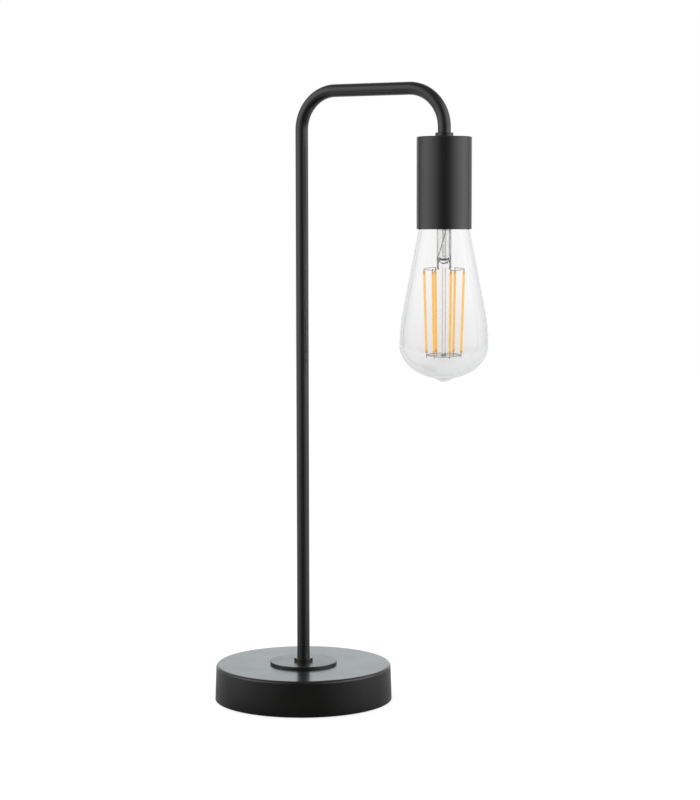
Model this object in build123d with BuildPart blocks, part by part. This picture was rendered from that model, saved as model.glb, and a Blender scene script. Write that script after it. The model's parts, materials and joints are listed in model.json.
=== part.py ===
from build123d import *
from math import atan2, cos, radians, sin, tan
import os

os.makedirs("parts", exist_ok=True)

# Table lamp: a weighted round base, a post bent over into an arm that turns down again, and a
# metal cup round a screw lampholder with a clear filament bulb.
# Millimetres, +Z up. The origin is on the table under the post, and the arm points along +X.

# Base
base_radius = 66.25
base_height = 27.0
cover_wall = 1.0
cover_draft = 2.0  # degrees that the pressed wall leans inwards
cover_edge_radius = 2.0
cover_lift = 0.8  # the rim stays this far above the table
pad_margin = 4.25  # from the pad's edge out to the cover's rim
pad_thickness = 2.0
weight_side_gap = 0.8
weight_edge_radius = 2.5
flange_radius = 25.0
flange_thickness = 2.0
flange_edge_radius = 0.5
foot_ring_wall = 2.0
foot_ring_height = 2.5

# Tube, bent cold to three times its diameter
tube_radius = 4.7
tube_wall = 1.2
bend_radius = 28.2
arm_height = 452.6
arm_reach = 117.0
drop_straight = 3.8  # straight tube between the second bend and the ring on the cup

# Rolled thread on both ends of the tube, its nuts and its washers
thread_rise = 0.25  # the rolled crests stand this far above the tube
thread_gap = 0.05
clearance_hole_gap = 0.2
nut_wall = 2.0  # thinnest metal between the thread and a flat
nut_height = 3.5
washer_thickness = 1.5
base_washer_radius = 12.0
thread_proud = 1.0  # how far the tube's foot stands out of the base nut

# Underside of the cast weight
nut_recess_radius = 14.5
nut_recess_depth = 16.0
channel_width = 12.0
channel_depth = 11.0

# Terminal block
block_length = 18.0
block_width = 20.0
block_height = 10.0
block_corner_radius = 1.0
block_centre_x = -36.0
block_seat_gap = 0.5
pole_spacing = 9.2
pole_tube_radius = 1.9
pole_bore_radius = 1.3
pole_screw_radius = 1.2
pole_screw_pitch = 10.0
fixing_screw_radius = 1.4
fixing_screw_head_radius = 2.6
fixing_screw_grip = 8.0

# Inlet bush in the back wall of the base
inlet_height = 8.0
inlet_bore_radius = 3.2
inlet_neck_radius = 4.6
inlet_flange_radius = 6.0
inlet_flange_proud = 1.8
inlet_lip_radius = 5.2
inlet_lip_length = 0.9
inlet_hole_gap = 0.1
inlet_wall_gap = 0.05

# Cup
cup_side_gap = 1.35  # between the lampholder's grip band and the cup
cup_wall = 0.8
cup_top_thickness = 1.0
cup_skirt = 9.7  # the cup hangs this far below the edge of the bulb's cap
cup_edge_radius = 1.0
cup_ring_wall = 1.5
cup_ring_height = 2.8
cup_washer_radius = 9.0

# Bulb, measured down its own axis from the mouth of the cup
bulb_radius = 32.0
bulb_proud = 109.3  # length that shows below the cup
bulb_wall = 0.9
bulb_rim_gap = 0.55  # between the glass and the cup's mouth
bulb_side_end = 58.0
bulb_belly_swell = 2.3  # the belly is this much wider than the end of the straight side
bulb_belly_depth = 82.0
bulb_dome_height = 25.0
bulb_shoulder_rise = 3.5
bulb_neck_gap = 0.3  # room for cement between the neck and the cap
bulb_neck_start = 9.2
bulb_neck_top = 13.7
tip_root_radius = 7.5
tip_waist_radius = 3.0
tip_waist_drop = 0.8

# Bulb cap, a screw cap of 27 mm nominal thread
cap_radius = 13.1
cap_length = 27.0
cap_wall = 0.4
cap_shell_height = 20.5
cap_shoulder_height = 2.5
cap_top_radius = 9.2
insulator_height = 2.4
insulator_top_radius = 5.6
insulator_spigot_radius = 8.6
insulator_spigot_length = 1.5
contact_radius = 4.8
contact_rim = 0.4
contact_pin_radius = 1.5
contact_pin_length = 3.4
contact_gap = 0.05
leaf_gap = 0.3  # between the contact's tip and the lampholder's leaf

# Glass mount inside the bulb
bulb_turned = 28.5  # degrees from the arm to the line through the two lead wires
flare_radius = 5.25
flare_wall = 0.65
flare_start = 3.0
flare_rim = 1.0
press_width = 10.6
press_thickness = 5.0
press_top = 19.0
press_shoulder = 22.5
press_bottom = 27.7
press_corner_radius = 1.8
exhaust_radius = 1.45
exhaust_bore_radius = 0.8
exhaust_top = 12.0
rod_radius = 1.33
rod_bottom = 91.6
lead_radius = 0.4
lead_spacing = 8.0
lead_hole_gap = 0.03
lead_cross_x = 1.0
lead_cross_y = -3.0
lead_cross_depth = 2.0
lead_bend_radius = 4.0
driver_height = 18.7
driver_board_gap = 0.4
driver_board_thickness = 1.2
driver_capacitor_radius = 4.0
driver_capacitor_height = 9.0
driver_chip_size = 6.0
driver_chip_height = 2.5

# Filaments and the wire frames that hold them
filament_count = 6
filament_first_angle = -66.0
filament_radius = 0.9
filament_top = 29.8
filament_bottom = 88.7
cage_top_radius = 14.25
cage_bottom_radius = 12.4
frame_wire_radius = 0.35
frame_top = 28.4
frame_bottom = 90.0
frame_gap = 0.05
tab_radius = 0.3
tab_drop = 3.3
hub_radius = 1.95
hub_height = 1.6

# Lampholder
holder_mouth_rise = 1.0  # its mouth is this far above the edge of the cap
holder_wall = 2.9
holder_lip_gap = 0.4
holder_lip_height = 1.5
holder_grip_rise = 0.6
holder_grip_height = 9.0
holder_grip_start = 2.0
holder_neck_step = 1.4
holder_neck_height = 2.5
sleeve_gap = 0.35  # room for the two threads
sleeve_wall = 0.5
sleeve_seat_gap = 0.15
insert_thickness = 5.2
insert_recess_radius = 11.0
insert_gap = 0.1
insert_drop = 1.7  # from the dome's rim down to the insert
dome_skirt_gap = 0.1
dome_skirt_height = 3.0
dome_wall = 1.5
dome_shoulder_height = 5.0
dome_shoulder_radius = 4.5
dome_neck_wall = 2.5
dome_neck_height = 6.6
dome_nut_gap = 0.5
contact_strip_width = 5.0
contact_strip_thickness = 0.5
strip_slot_gap = 0.1
live_strip_reach = 7.5
live_strip_tail = 5.0
side_strip_riser = 9.8
terminal_length = 6.0
terminal_width = 6.0
terminal_height = 5.0
terminal_offset = 7.5
terminal_bore_radius = 1.1
terminal_screw_radius = 1.25
terminal_screw_head_radius = 2.3
terminal_screw_head_height = 1.4
grub_screw_radius = 1.5
grub_screw_length = 3.6

# Internal wires
wire_radius = 1.1
wire_core_radius = 0.5
wire_core_length = 5.0
wire_spacing = 2.5
wire_foot_bend = 3.5
wire_spread_bend = 5.0
wire_spread_start = 6.0  # straight run out of the block before the wires draw together
wire_spread_end = 7.0  # straight run before they turn up into the tube
wire_top_bend = 1.56
wire_end_gap = 0.4

# Radii that follow, from the tube outwards and from the cap outwards to the cup
tube_bore_radius = tube_radius - tube_wall
thread_radius = tube_radius + thread_rise
thread_hole_radius = thread_radius + thread_gap
clearance_hole_radius = thread_radius + clearance_hole_gap
nut_flat_radius = thread_hole_radius + nut_wall
foot_ring_radius = thread_hole_radius + foot_ring_wall
cup_ring_radius = thread_hole_radius + cup_ring_wall
dome_neck_radius = thread_hole_radius + dome_neck_wall
sleeve_bore_radius = cap_radius + sleeve_gap
sleeve_radius = sleeve_bore_radius + sleeve_wall
side_strip_reach = sleeve_bore_radius + sleeve_wall / 2
holder_bore_radius = sleeve_radius + sleeve_seat_gap
holder_lip_radius = cap_radius + holder_lip_gap
holder_radius = holder_bore_radius + holder_wall
holder_grip_radius = holder_radius + holder_grip_rise
holder_neck_radius = holder_radius - holder_neck_step
dome_skirt_bore_radius = holder_neck_radius + dome_skirt_gap
cup_bore_radius = holder_grip_radius + cup_side_gap
cup_radius = cup_bore_radius + cup_wall
bulb_mouth_radius = cup_bore_radius - bulb_rim_gap
bulb_neck_radius = cap_radius - cap_wall - bulb_neck_gap
driver_board_radius = cap_radius - cap_wall - driver_board_gap
bulb_side_lean = atan2(bulb_radius - bulb_belly_swell - bulb_mouth_radius, bulb_side_end)

# Heights that follow: the base from the table up, and the rest down from the arm
pad_top = pad_thickness
pad_radius = base_radius - pad_margin
cover_top_inside = base_height - cover_wall
cover_top_radius = base_radius - (base_height - cover_lift) * tan(radians(cover_draft))
weight_radius = cover_top_radius - cover_wall - weight_side_gap
flange_top = base_height + flange_thickness
foot_ring_top = flange_top + foot_ring_height
nut_recess_top = pad_top + nut_recess_depth
base_washer_bottom = nut_recess_top - washer_thickness
base_nut_bottom = base_washer_bottom - nut_height
tube_foot = base_nut_bottom - thread_proud
channel_top = pad_top + channel_depth

cup_ring_top = arm_height - bend_radius - drop_straight
cup_top = cup_ring_top - cup_ring_height
cup_top_inside = cup_top - cup_top_thickness
cup_washer_bottom = cup_top_inside - washer_thickness
cup_nut_bottom = cup_washer_bottom - nut_height
dome_top = cup_nut_bottom - dome_nut_gap
dome_shoulder_top = dome_top - dome_neck_height
dome_skirt_top = dome_shoulder_top - dome_shoulder_height
dome_bottom = dome_skirt_top - dome_skirt_height
tube_end = dome_shoulder_top + grub_screw_radius

insert_top = dome_bottom - insert_drop
insert_bottom = insert_top - insert_thickness
terminal_bottom = insert_top + contact_strip_thickness
terminal_top = terminal_bottom + terminal_height
leaf_top = insert_bottom
leaf_bottom = leaf_top - contact_strip_thickness
cap_tip_z = leaf_bottom - leaf_gap
cap_edge_z = cap_tip_z - cap_length
cap_shell_top = cap_edge_z + cap_shell_height
cap_top = cap_shell_top + cap_shoulder_height
insulator_top = cap_top + insulator_height
holder_mouth_z = cap_edge_z + holder_mouth_rise
sleeve_bottom = holder_mouth_z + holder_lip_height
cup_mouth_z = cap_edge_z - cup_skirt

bulb_axis = Axis((arm_reach, 0, 0), (0, 0, 1))
bulb_section = Plane(origin=(arm_reach, 0, cup_mouth_z), x_dir=(1, 0, 0), z_dir=(0, -1, 0))
cup_section = Plane(origin=(arm_reach, 0, 0), x_dir=(1, 0, 0), z_dir=(0, -1, 0))
mount_plane = Plane(
    origin=(arm_reach, 0, cup_mouth_z),
    x_dir=(cos(radians(bulb_turned)), sin(radians(bulb_turned)), 0),
    z_dir=(0, 0, 1),
)


def corner(sketch, x, y):
    """The corner of a sketch that is nearest to a point of its plane."""
    return sketch.vertices().sort_by_distance(Vector(x, y, 0))[0]


def at_bulb(height):
    """A level plane on the bulb's axis at a height above the table."""
    return Plane(origin=(arm_reach, 0, height))


def mount_point(x, y, depth):
    """A point inside the bulb: across the leads, along the view of them, and down its axis."""
    return mount_plane.from_local_coords(Vector(x, y, -depth))


def cage_point(radius, angle, depth):
    """A point on the filament cage, by its radius, its angle in degrees and its depth."""
    return mount_point(radius * cos(radians(angle)), radius * sin(radians(angle)), depth)


# Base: foam pad, cast weight and pressed cover
with BuildPart() as base_pad:
    with BuildSketch():
        Circle(pad_radius)
    extrude(amount=pad_thickness)
base_pad.part.label = "base_pad"
export_step(base_pad.part, "parts/base_pad.step")

with BuildPart() as base_cover:
    with BuildSketch(Plane.XZ) as cover_outline:
        with BuildLine():
            Polyline(
                (clearance_hole_radius, base_height),
                (cover_top_radius, base_height),
                (base_radius, cover_lift),
                (base_radius - cover_wall, cover_lift),
                (cover_top_radius - cover_wall, cover_top_inside),
                (clearance_hole_radius, cover_top_inside),
                close=True,
            )
        make_face()
        fillet(corner(cover_outline, cover_top_radius, base_height), cover_edge_radius)
        fillet(
            corner(cover_outline, cover_top_radius - cover_wall, cover_top_inside),
            cover_edge_radius - cover_wall,
        )
    revolve(axis=Axis.Z)
    with BuildSketch(Plane.YZ.offset(-base_radius - cover_wall)):
        with Locations((0, inlet_height)):
            Circle(inlet_neck_radius + inlet_hole_gap)
    extrude(amount=4 * cover_wall, mode=Mode.SUBTRACT)
base_cover.part.label = "base_cover"
export_step(base_cover.part, "parts/base_cover.step")

with BuildPart() as base_weight:
    with BuildSketch(Plane.XZ) as weight_outline:
        with BuildLine():
            Polyline(
                (clearance_hole_radius, pad_top),
                (weight_radius, pad_top),
                (weight_radius, cover_top_inside),
                (clearance_hole_radius, cover_top_inside),
                close=True,
            )
        make_face()
        fillet(corner(weight_outline, weight_radius, cover_top_inside), weight_edge_radius)
    revolve(axis=Axis.Z)
    with BuildSketch(Plane.XY.offset(pad_top)):
        Circle(nut_recess_radius)
    extrude(amount=nut_recess_depth, mode=Mode.SUBTRACT)
    with BuildSketch(Plane.XY.offset(pad_top)):
        Rectangle(base_radius, channel_width, align=(Align.MAX, Align.CENTER))
        with Locations((block_centre_x, 0)):
            Rectangle(block_length + 2 * block_seat_gap, block_width + 2 * block_seat_gap)
    extrude(amount=channel_depth, mode=Mode.SUBTRACT)
    with BuildSketch(Plane.XY.offset(channel_top)):
        with Locations((block_centre_x, 0)):
            Circle(fixing_screw_radius)
    extrude(amount=fixing_screw_grip, mode=Mode.SUBTRACT)
base_weight.part.label = "base_weight"
export_step(base_weight.part, "parts/base_weight.step")

with BuildPart() as base_washer:
    with BuildSketch(Plane.XY.offset(base_washer_bottom)):
        Circle(base_washer_radius)
        Circle(clearance_hole_radius, mode=Mode.SUBTRACT)
    extrude(amount=washer_thickness)
base_washer.part.label = "base_washer"
export_step(base_washer.part, "parts/base_washer.step")

with BuildPart() as base_nut:
    with BuildSketch(Plane.XY.offset(base_nut_bottom)):
        RegularPolygon(radius=nut_flat_radius, side_count=6, major_radius=False)
        Circle(thread_hole_radius, mode=Mode.SUBTRACT)
    extrude(amount=nut_height)
base_nut.part.label = "base_nut"
export_step(base_nut.part, "parts/base_nut.step")

# Inlet bush: its flange follows the round, leaning wall, and its lip snaps in behind it
with BuildPart() as cord_inlet_bush:
    bush_outer_x = -base_radius - inlet_flange_proud
    wall_inside = base_radius - cover_wall - (inlet_height - cover_lift) * tan(radians(cover_draft))
    lip_curve = (wall_inside**2 - inlet_lip_radius**2) ** 0.5
    lip_x = -lip_curve + inlet_lip_radius * tan(radians(cover_draft)) + inlet_wall_gap
    with BuildSketch(Plane.YZ.offset(bush_outer_x)):
        with Locations((0, inlet_height)):
            Circle(inlet_flange_radius)
    extrude(amount=2 * inlet_flange_proud)
    fillet(cord_inlet_bush.edges().group_by(Axis.X)[0], inlet_flange_proud / 3)
    with BuildSketch(Plane.XZ):
        with BuildLine():
            Polyline(
                (0, 0),
                (base_radius + inlet_wall_gap, 0),
                (base_radius + inlet_wall_gap, cover_lift),
                (cover_top_radius + inlet_wall_gap, base_height),
                (0, base_height),
                close=True,
            )
        make_face()
    revolve(axis=Axis.Z, mode=Mode.SUBTRACT)
    with BuildSketch(Plane.YZ.offset(bush_outer_x + inlet_flange_proud / 2)):
        with Locations((0, inlet_height)):
            Circle(inlet_neck_radius)
    extrude(amount=lip_x - bush_outer_x - inlet_flange_proud / 2)
    with BuildSketch(Plane.YZ.offset(lip_x)):
        with Locations((0, inlet_height)):
            Circle(inlet_lip_radius)
    extrude(amount=inlet_lip_length)
    with BuildSketch(Plane.YZ.offset(bush_outer_x)):
        with Locations((0, inlet_height)):
            Circle(inlet_bore_radius)
    extrude(amount=base_radius, mode=Mode.SUBTRACT)
cord_inlet_bush.part.label = "cord_inlet_bush"
export_step(cord_inlet_bush.part, "parts/cord_inlet_bush.step")

# Terminal block in the channel: body, brass tubes, clamp screws and its own fixing screw
block_bottom = channel_top - block_height
block_middle = channel_top - block_height / 2
block_front_x = block_centre_x + block_length / 2
pole_places = [(block_centre_x, side * pole_spacing / 2) for side in (-1, 1)]

with BuildPart() as terminal_block:
    with BuildSketch(Plane.XY.offset(block_bottom)):
        with Locations((block_centre_x, 0)):
            RectangleRounded(block_length, block_width, block_corner_radius)
    extrude(amount=block_height)
    with BuildSketch(Plane.YZ.offset(block_front_x)):
        with Locations(*[(place[1], block_middle) for place in pole_places]):
            Circle(pole_tube_radius)
    extrude(amount=-block_length, mode=Mode.SUBTRACT)
    with BuildSketch(Plane.XY.offset(block_bottom)):
        with Locations(*pole_places):
            with GridLocations(pole_screw_pitch, 1, 2, 1):
                Circle(pole_tube_radius)
        with Locations((block_centre_x, 0)):
            Circle(fixing_screw_head_radius)
    extrude(amount=block_height / 2, mode=Mode.SUBTRACT)
    with BuildSketch(Plane.XY.offset(block_middle)):
        with Locations((block_centre_x, 0)):
            Circle(fixing_screw_radius + thread_gap)
    extrude(amount=block_height / 2, mode=Mode.SUBTRACT)
terminal_block.part.label = "terminal_block"
export_step(terminal_block.part, "parts/terminal_block.step")

with BuildPart() as block_tubes:
    with BuildSketch(Plane.YZ.offset(block_front_x)):
        with Locations(*[(place[1], block_middle) for place in pole_places]):
            Circle(pole_tube_radius)
            Circle(pole_bore_radius, mode=Mode.SUBTRACT)
    extrude(amount=-block_length)
    with BuildSketch(Plane.XY.offset(block_bottom)):
        with Locations(*pole_places):
            with GridLocations(pole_screw_pitch, 1, 2, 1):
                Circle(pole_screw_radius + thread_gap)
    extrude(amount=block_height / 2, mode=Mode.SUBTRACT)
block_tubes.part.label = "block_tubes"
export_step(block_tubes.part, "parts/block_tubes.step")

with BuildPart() as block_screws:
    screw_tip = block_middle - wire_core_radius - thread_gap
    with BuildSketch(Plane.XY.offset(block_bottom + pole_screw_radius)):
        with Locations(*pole_places):
            with GridLocations(pole_screw_pitch, 1, 2, 1):
                Circle(pole_screw_radius)
    extrude(amount=screw_tip - block_bottom - pole_screw_radius)
block_screws.part.label = "block_screws"
export_step(block_screws.part, "parts/block_screws.step")

with BuildPart() as block_fixing_screw:
    with BuildSketch(Plane.XY.offset(block_middle - fixing_screw_radius)):
        with Locations((block_centre_x, 0)):
            Circle(fixing_screw_head_radius - thread_gap)
    extrude(amount=fixing_screw_radius)
    with BuildSketch(Plane.XY.offset(block_middle)):
        with Locations((block_centre_x, 0)):
            Circle(fixing_screw_radius)
    extrude(amount=block_height / 2 + fixing_screw_grip)
block_fixing_screw.part.label = "block_fixing_screw"
export_step(block_fixing_screw.part, "parts/block_fixing_screw.step")

# Post: flange plate, foot ring and the bent tube with its two threaded ends
with BuildPart() as flange_plate:
    with BuildSketch(Plane.XY.offset(base_height)):
        Circle(flange_radius)
        Circle(clearance_hole_radius, mode=Mode.SUBTRACT)
    extrude(amount=flange_thickness)
    top_rim = flange_plate.edges().group_by(Axis.Z)[-1].sort_by(SortBy.LENGTH)[-1]
    fillet(top_rim, flange_edge_radius)
flange_plate.part.label = "flange_plate"
export_step(flange_plate.part, "parts/flange_plate.step")

with BuildPart() as foot_ring:
    with BuildSketch(Plane.XY.offset(flange_top)):
        Circle(foot_ring_radius)
        Circle(thread_hole_radius, mode=Mode.SUBTRACT)
    extrude(amount=foot_ring_height)
    top_rim = foot_ring.edges().group_by(Axis.Z)[-1].sort_by(SortBy.LENGTH)[-1]
    fillet(top_rim, flange_edge_radius)
foot_ring.part.label = "foot_ring"
export_step(foot_ring.part, "parts/foot_ring.step")

with BuildPart() as stem_tube:
    with BuildLine(Plane.XZ):
        FilletPolyline(
            (0, tube_foot),
            (0, arm_height),
            (arm_reach, arm_height),
            (arm_reach, tube_end),
            radius=bend_radius,
        )
    with BuildSketch(Plane.XY.offset(tube_foot)):
        Circle(tube_radius)
        Circle(tube_bore_radius, mode=Mode.SUBTRACT)
    sweep()
    with BuildSketch(Plane.XY.offset(tube_foot)):
        Circle(thread_radius)
        Circle(tube_radius, mode=Mode.SUBTRACT)
    extrude(amount=foot_ring_top - flange_edge_radius - tube_foot)
    with BuildSketch(at_bulb(tube_end)):
        Circle(thread_radius)
        Circle(tube_radius, mode=Mode.SUBTRACT)
    extrude(amount=cup_ring_top - flange_edge_radius - tube_end)
stem_tube.part.label = "stem_tube"
export_step(stem_tube.part, "parts/stem_tube.step")

# Cup: lock ring, spun cup, washer and nut
with BuildPart() as cup_ring:
    with BuildSketch(at_bulb(cup_top)):
        Circle(cup_ring_radius)
        Circle(thread_hole_radius, mode=Mode.SUBTRACT)
    extrude(amount=cup_ring_height)
    top_rim = cup_ring.edges().group_by(Axis.Z)[-1].sort_by(SortBy.LENGTH)[-1]
    fillet(top_rim, flange_edge_radius)
cup_ring.part.label = "cup_ring"
export_step(cup_ring.part, "parts/cup_ring.step")

with BuildPart() as lamp_cup:
    with BuildSketch(cup_section) as cup_outline:
        with BuildLine():
            Polyline(
                (clearance_hole_radius, cup_top),
                (cup_radius, cup_top),
                (cup_radius, cup_mouth_z),
                (cup_bore_radius, cup_mouth_z),
                (cup_bore_radius, cup_top_inside),
                (clearance_hole_radius, cup_top_inside),
                close=True,
            )
        make_face()
        fillet(corner(cup_outline, cup_radius, cup_top), cup_edge_radius)
        fillet(
            corner(cup_outline, cup_bore_radius, cup_top_inside),
            cup_edge_radius / 2,
        )
    revolve(axis=bulb_axis)
lamp_cup.part.label = "lamp_cup"
export_step(lamp_cup.part, "parts/lamp_cup.step")

with BuildPart() as cup_washer:
    with BuildSketch(at_bulb(cup_washer_bottom)):
        Circle(cup_washer_radius)
        Circle(clearance_hole_radius, mode=Mode.SUBTRACT)
    extrude(amount=washer_thickness)
cup_washer.part.label = "cup_washer"
export_step(cup_washer.part, "parts/cup_washer.step")

with BuildPart() as cup_nut:
    with BuildSketch(at_bulb(cup_nut_bottom)):
        RegularPolygon(radius=nut_flat_radius, side_count=6, major_radius=False)
        Circle(thread_hole_radius, mode=Mode.SUBTRACT)
    extrude(amount=nut_height)
cup_nut.part.label = "cup_nut"
export_step(cup_nut.part, "parts/cup_nut.step")

# Lampholder: dome on the tube's thread, body with its grip band, and the insert between them
with BuildPart() as holder_dome:
    dome_inner_radius = dome_skirt_bore_radius - dome_wall
    dome_ceiling = dome_shoulder_top - dome_wall
    with BuildSketch(cup_section) as dome_outline:
        with BuildLine():
            Polyline(
                (dome_skirt_bore_radius, dome_skirt_top),
                (dome_skirt_bore_radius, dome_bottom),
                (holder_radius, dome_bottom),
                (holder_radius, dome_shoulder_top),
                (dome_neck_radius, dome_shoulder_top),
                (dome_neck_radius, dome_top),
                (thread_hole_radius, dome_top),
                (thread_hole_radius, dome_ceiling),
                (dome_inner_radius, dome_ceiling),
                (dome_inner_radius, dome_skirt_top),
                close=True,
            )
        make_face()
        fillet(corner(dome_outline, holder_radius, dome_shoulder_top), dome_shoulder_radius)
        fillet(
            corner(dome_outline, dome_inner_radius, dome_ceiling),
            dome_shoulder_radius - dome_wall,
        )
        fillet(corner(dome_outline, dome_neck_radius, dome_shoulder_top), dome_wall)
    revolve(axis=bulb_axis)
    grub_screw_height = (dome_top + dome_shoulder_top) / 2
    with BuildSketch(Plane.YZ.offset(arm_reach)):
        with Locations((0, grub_screw_height)):
            Circle(grub_screw_radius + thread_gap)
    extrude(amount=dome_neck_radius, mode=Mode.SUBTRACT)
holder_dome.part.label = "holder_dome"
export_step(holder_dome.part, "parts/holder_dome.step")

with BuildPart() as holder_grub_screw:
    with BuildSketch(Plane.YZ.offset(arm_reach + thread_hole_radius)):
        with Locations((0, grub_screw_height)):
            Circle(grub_screw_radius)
    extrude(amount=grub_screw_length)
holder_grub_screw.part.label = "holder_grub_screw"
export_step(holder_grub_screw.part, "parts/holder_grub_screw.step")

holder_shoulder = dome_bottom - insert_gap
grip_bottom = holder_mouth_z + holder_grip_start
with BuildPart() as holder_body:
    with BuildSketch(cup_section):
        with BuildLine():
            Polyline(
                (holder_lip_radius, holder_mouth_z),
                (holder_radius, holder_mouth_z),
                (holder_radius, grip_bottom),
                (holder_grip_radius, grip_bottom + holder_grip_radius - holder_radius),
                (holder_grip_radius, grip_bottom + holder_grip_height),
                (holder_radius, grip_bottom + holder_grip_height),
                (holder_radius, holder_shoulder),
                (holder_neck_radius, holder_shoulder),
                (holder_neck_radius, holder_shoulder + holder_neck_height),
                (holder_bore_radius, holder_shoulder + holder_neck_height),
                (holder_bore_radius, sleeve_bottom),
                (holder_lip_radius, sleeve_bottom),
                close=True,
            )
        make_face()
    revolve(axis=bulb_axis)
holder_body.part.label = "holder_body"
export_step(holder_body.part, "parts/holder_body.step")

with BuildPart() as thread_sleeve:
    with BuildSketch(at_bulb(sleeve_bottom)):
        Circle(sleeve_radius)
        Circle(sleeve_bore_radius, mode=Mode.SUBTRACT)
    extrude(amount=insert_bottom - sleeve_bottom)
thread_sleeve.part.label = "thread_sleeve"
export_step(thread_sleeve.part, "parts/thread_sleeve.step")

slot_width = contact_strip_width + 2 * strip_slot_gap
slot_length = contact_strip_thickness + 2 * strip_slot_gap
side_riser_y = -side_strip_riser
live_riser_y = live_strip_reach
with BuildPart() as holder_insert:
    with BuildSketch(at_bulb(insert_bottom)):
        Circle(holder_bore_radius - insert_gap)
    extrude(amount=insert_thickness)
    with BuildSketch(at_bulb(insert_bottom)):
        Circle(insert_recess_radius)
        with Locations((0, -side_strip_reach)):
            Rectangle(slot_width, 2 * (side_strip_reach - side_strip_riser))
    extrude(amount=contact_strip_thickness + strip_slot_gap, mode=Mode.SUBTRACT)
    with BuildSketch(at_bulb(insert_bottom)):
        with Locations((0, side_riser_y), (0, live_riser_y)):
            Rectangle(slot_width, slot_length)
    extrude(amount=insert_thickness, mode=Mode.SUBTRACT)
holder_insert.part.label = "holder_insert"
export_step(holder_insert.part, "parts/holder_insert.step")


def contact_terminal(side):
    """The brass clamp that stands on the insert's top, with its wire bore and screw hole."""
    outer_face_y = side * (terminal_offset + terminal_width / 2)
    with BuildPart() as clamp:
        with BuildSketch(at_bulb(terminal_bottom)):
            with Locations((0, side * terminal_offset)):
                Rectangle(terminal_length, terminal_width)
        extrude(amount=terminal_height)
        with BuildSketch(Plane.XZ.offset(-outer_face_y)):
            with Locations((arm_reach, terminal_bottom + terminal_height / 2)):
                Circle(terminal_bore_radius)
        extrude(amount=side * terminal_width, mode=Mode.SUBTRACT)
        with BuildSketch(at_bulb(terminal_bottom + terminal_height / 2)):
            with Locations((0, side * terminal_offset)):
                Circle(terminal_screw_radius + thread_gap)
        extrude(amount=terminal_height / 2, mode=Mode.SUBTRACT)
    return clamp.part


half_strip = contact_strip_thickness / 2
with BuildPart() as centre_contact:
    with BuildSketch(Plane.YZ.offset(arm_reach)):
        with BuildLine():
            Polyline(
                (-live_strip_tail, leaf_bottom),
                (live_riser_y + half_strip, leaf_bottom),
                (live_riser_y + half_strip, terminal_bottom),
                (live_riser_y - half_strip, terminal_bottom),
                (live_riser_y - half_strip, leaf_top),
                (-live_strip_tail, leaf_top),
                close=True,
            )
        make_face()
        with Locations((terminal_offset, insert_top + half_strip)):
            Rectangle(terminal_width, contact_strip_thickness)
    extrude(amount=contact_strip_width / 2, both=True)
    add(contact_terminal(1))
centre_contact.part.label = "centre_contact"
export_step(centre_contact.part, "parts/centre_contact.step")

with BuildPart() as side_contact:
    with BuildSketch(Plane.YZ.offset(arm_reach)):
        with BuildLine():
            Polyline(
                (-side_strip_reach, insert_bottom),
                (side_riser_y + half_strip, insert_bottom),
                (side_riser_y + half_strip, terminal_bottom),
                (side_riser_y - half_strip, terminal_bottom),
                (side_riser_y - half_strip, insert_bottom + contact_strip_thickness),
                (-side_strip_reach, insert_bottom + contact_strip_thickness),
                close=True,
            )
        make_face()
        with Locations((-terminal_offset, insert_top + half_strip)):
            Rectangle(terminal_width, contact_strip_thickness)
    extrude(amount=contact_strip_width / 2, both=True)
    add(contact_terminal(-1))
side_contact.part.label = "side_contact"
export_step(side_contact.part, "parts/side_contact.step")

with BuildPart() as holder_terminal_screws:
    core_top = terminal_bottom + terminal_height / 2 + wire_core_radius
    with BuildSketch(at_bulb(core_top + thread_gap)):
        with Locations((0, -terminal_offset), (0, terminal_offset)):
            Circle(terminal_screw_radius)
    extrude(amount=terminal_top - core_top - thread_gap)
    with BuildSketch(at_bulb(terminal_top)):
        with Locations((0, -terminal_offset), (0, terminal_offset)):
            Circle(terminal_screw_head_radius)
    extrude(amount=terminal_screw_head_height)
holder_terminal_screws.part.label = "holder_terminal_screws"
export_step(holder_terminal_screws.part, "parts/holder_terminal_screws.step")


# Internal wires, from the terminal block up the tube and out to the lampholder's terminals
def internal_wire(side):
    """One insulated wire with bare ends, on the side of the tube that side says."""
    lane = side * wire_spacing / 2
    pole = side * pole_spacing / 2
    top_z = terminal_bottom + terminal_height / 2
    start = Vector(block_front_x + wire_end_gap, pole, block_middle)
    end = Vector(arm_reach, side * (terminal_offset - terminal_width / 2 - wire_end_gap), top_z)
    with BuildPart() as wire:
        with BuildLine() as route:
            FilletPolyline(
                start,
                (block_front_x + wire_spread_start, pole, block_middle),
                (-wire_spread_end, lane, block_middle),
                (0, lane, block_middle),
                (0, lane, arm_height),
                (arm_reach, lane, arm_height),
                (arm_reach, lane, top_z),
                end,
                radius=[
                    wire_spread_bend,
                    wire_spread_bend,
                    wire_foot_bend,
                    bend_radius,
                    bend_radius,
                    wire_top_bend,
                ],
            )
        with BuildSketch(Plane(origin=start, z_dir=(1, 0, 0))):
            Circle(wire_radius)
        sweep(path=route.line)
        with BuildSketch(Plane(origin=start, z_dir=(-1, 0, 0))):
            Circle(wire_core_radius)
        extrude(amount=wire_core_length)
        with BuildSketch(Plane(origin=end, z_dir=(0, side, 0))):
            Circle(wire_core_radius)
        extrude(amount=wire_core_length)
    return wire


wire_live = internal_wire(1)
wire_live.part.label = "wire_live"
export_step(wire_live.part, "parts/wire_live.step")

wire_neutral = internal_wire(-1)
wire_neutral.part.label = "wire_neutral"
export_step(wire_neutral.part, "parts/wire_neutral.step")


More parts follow.
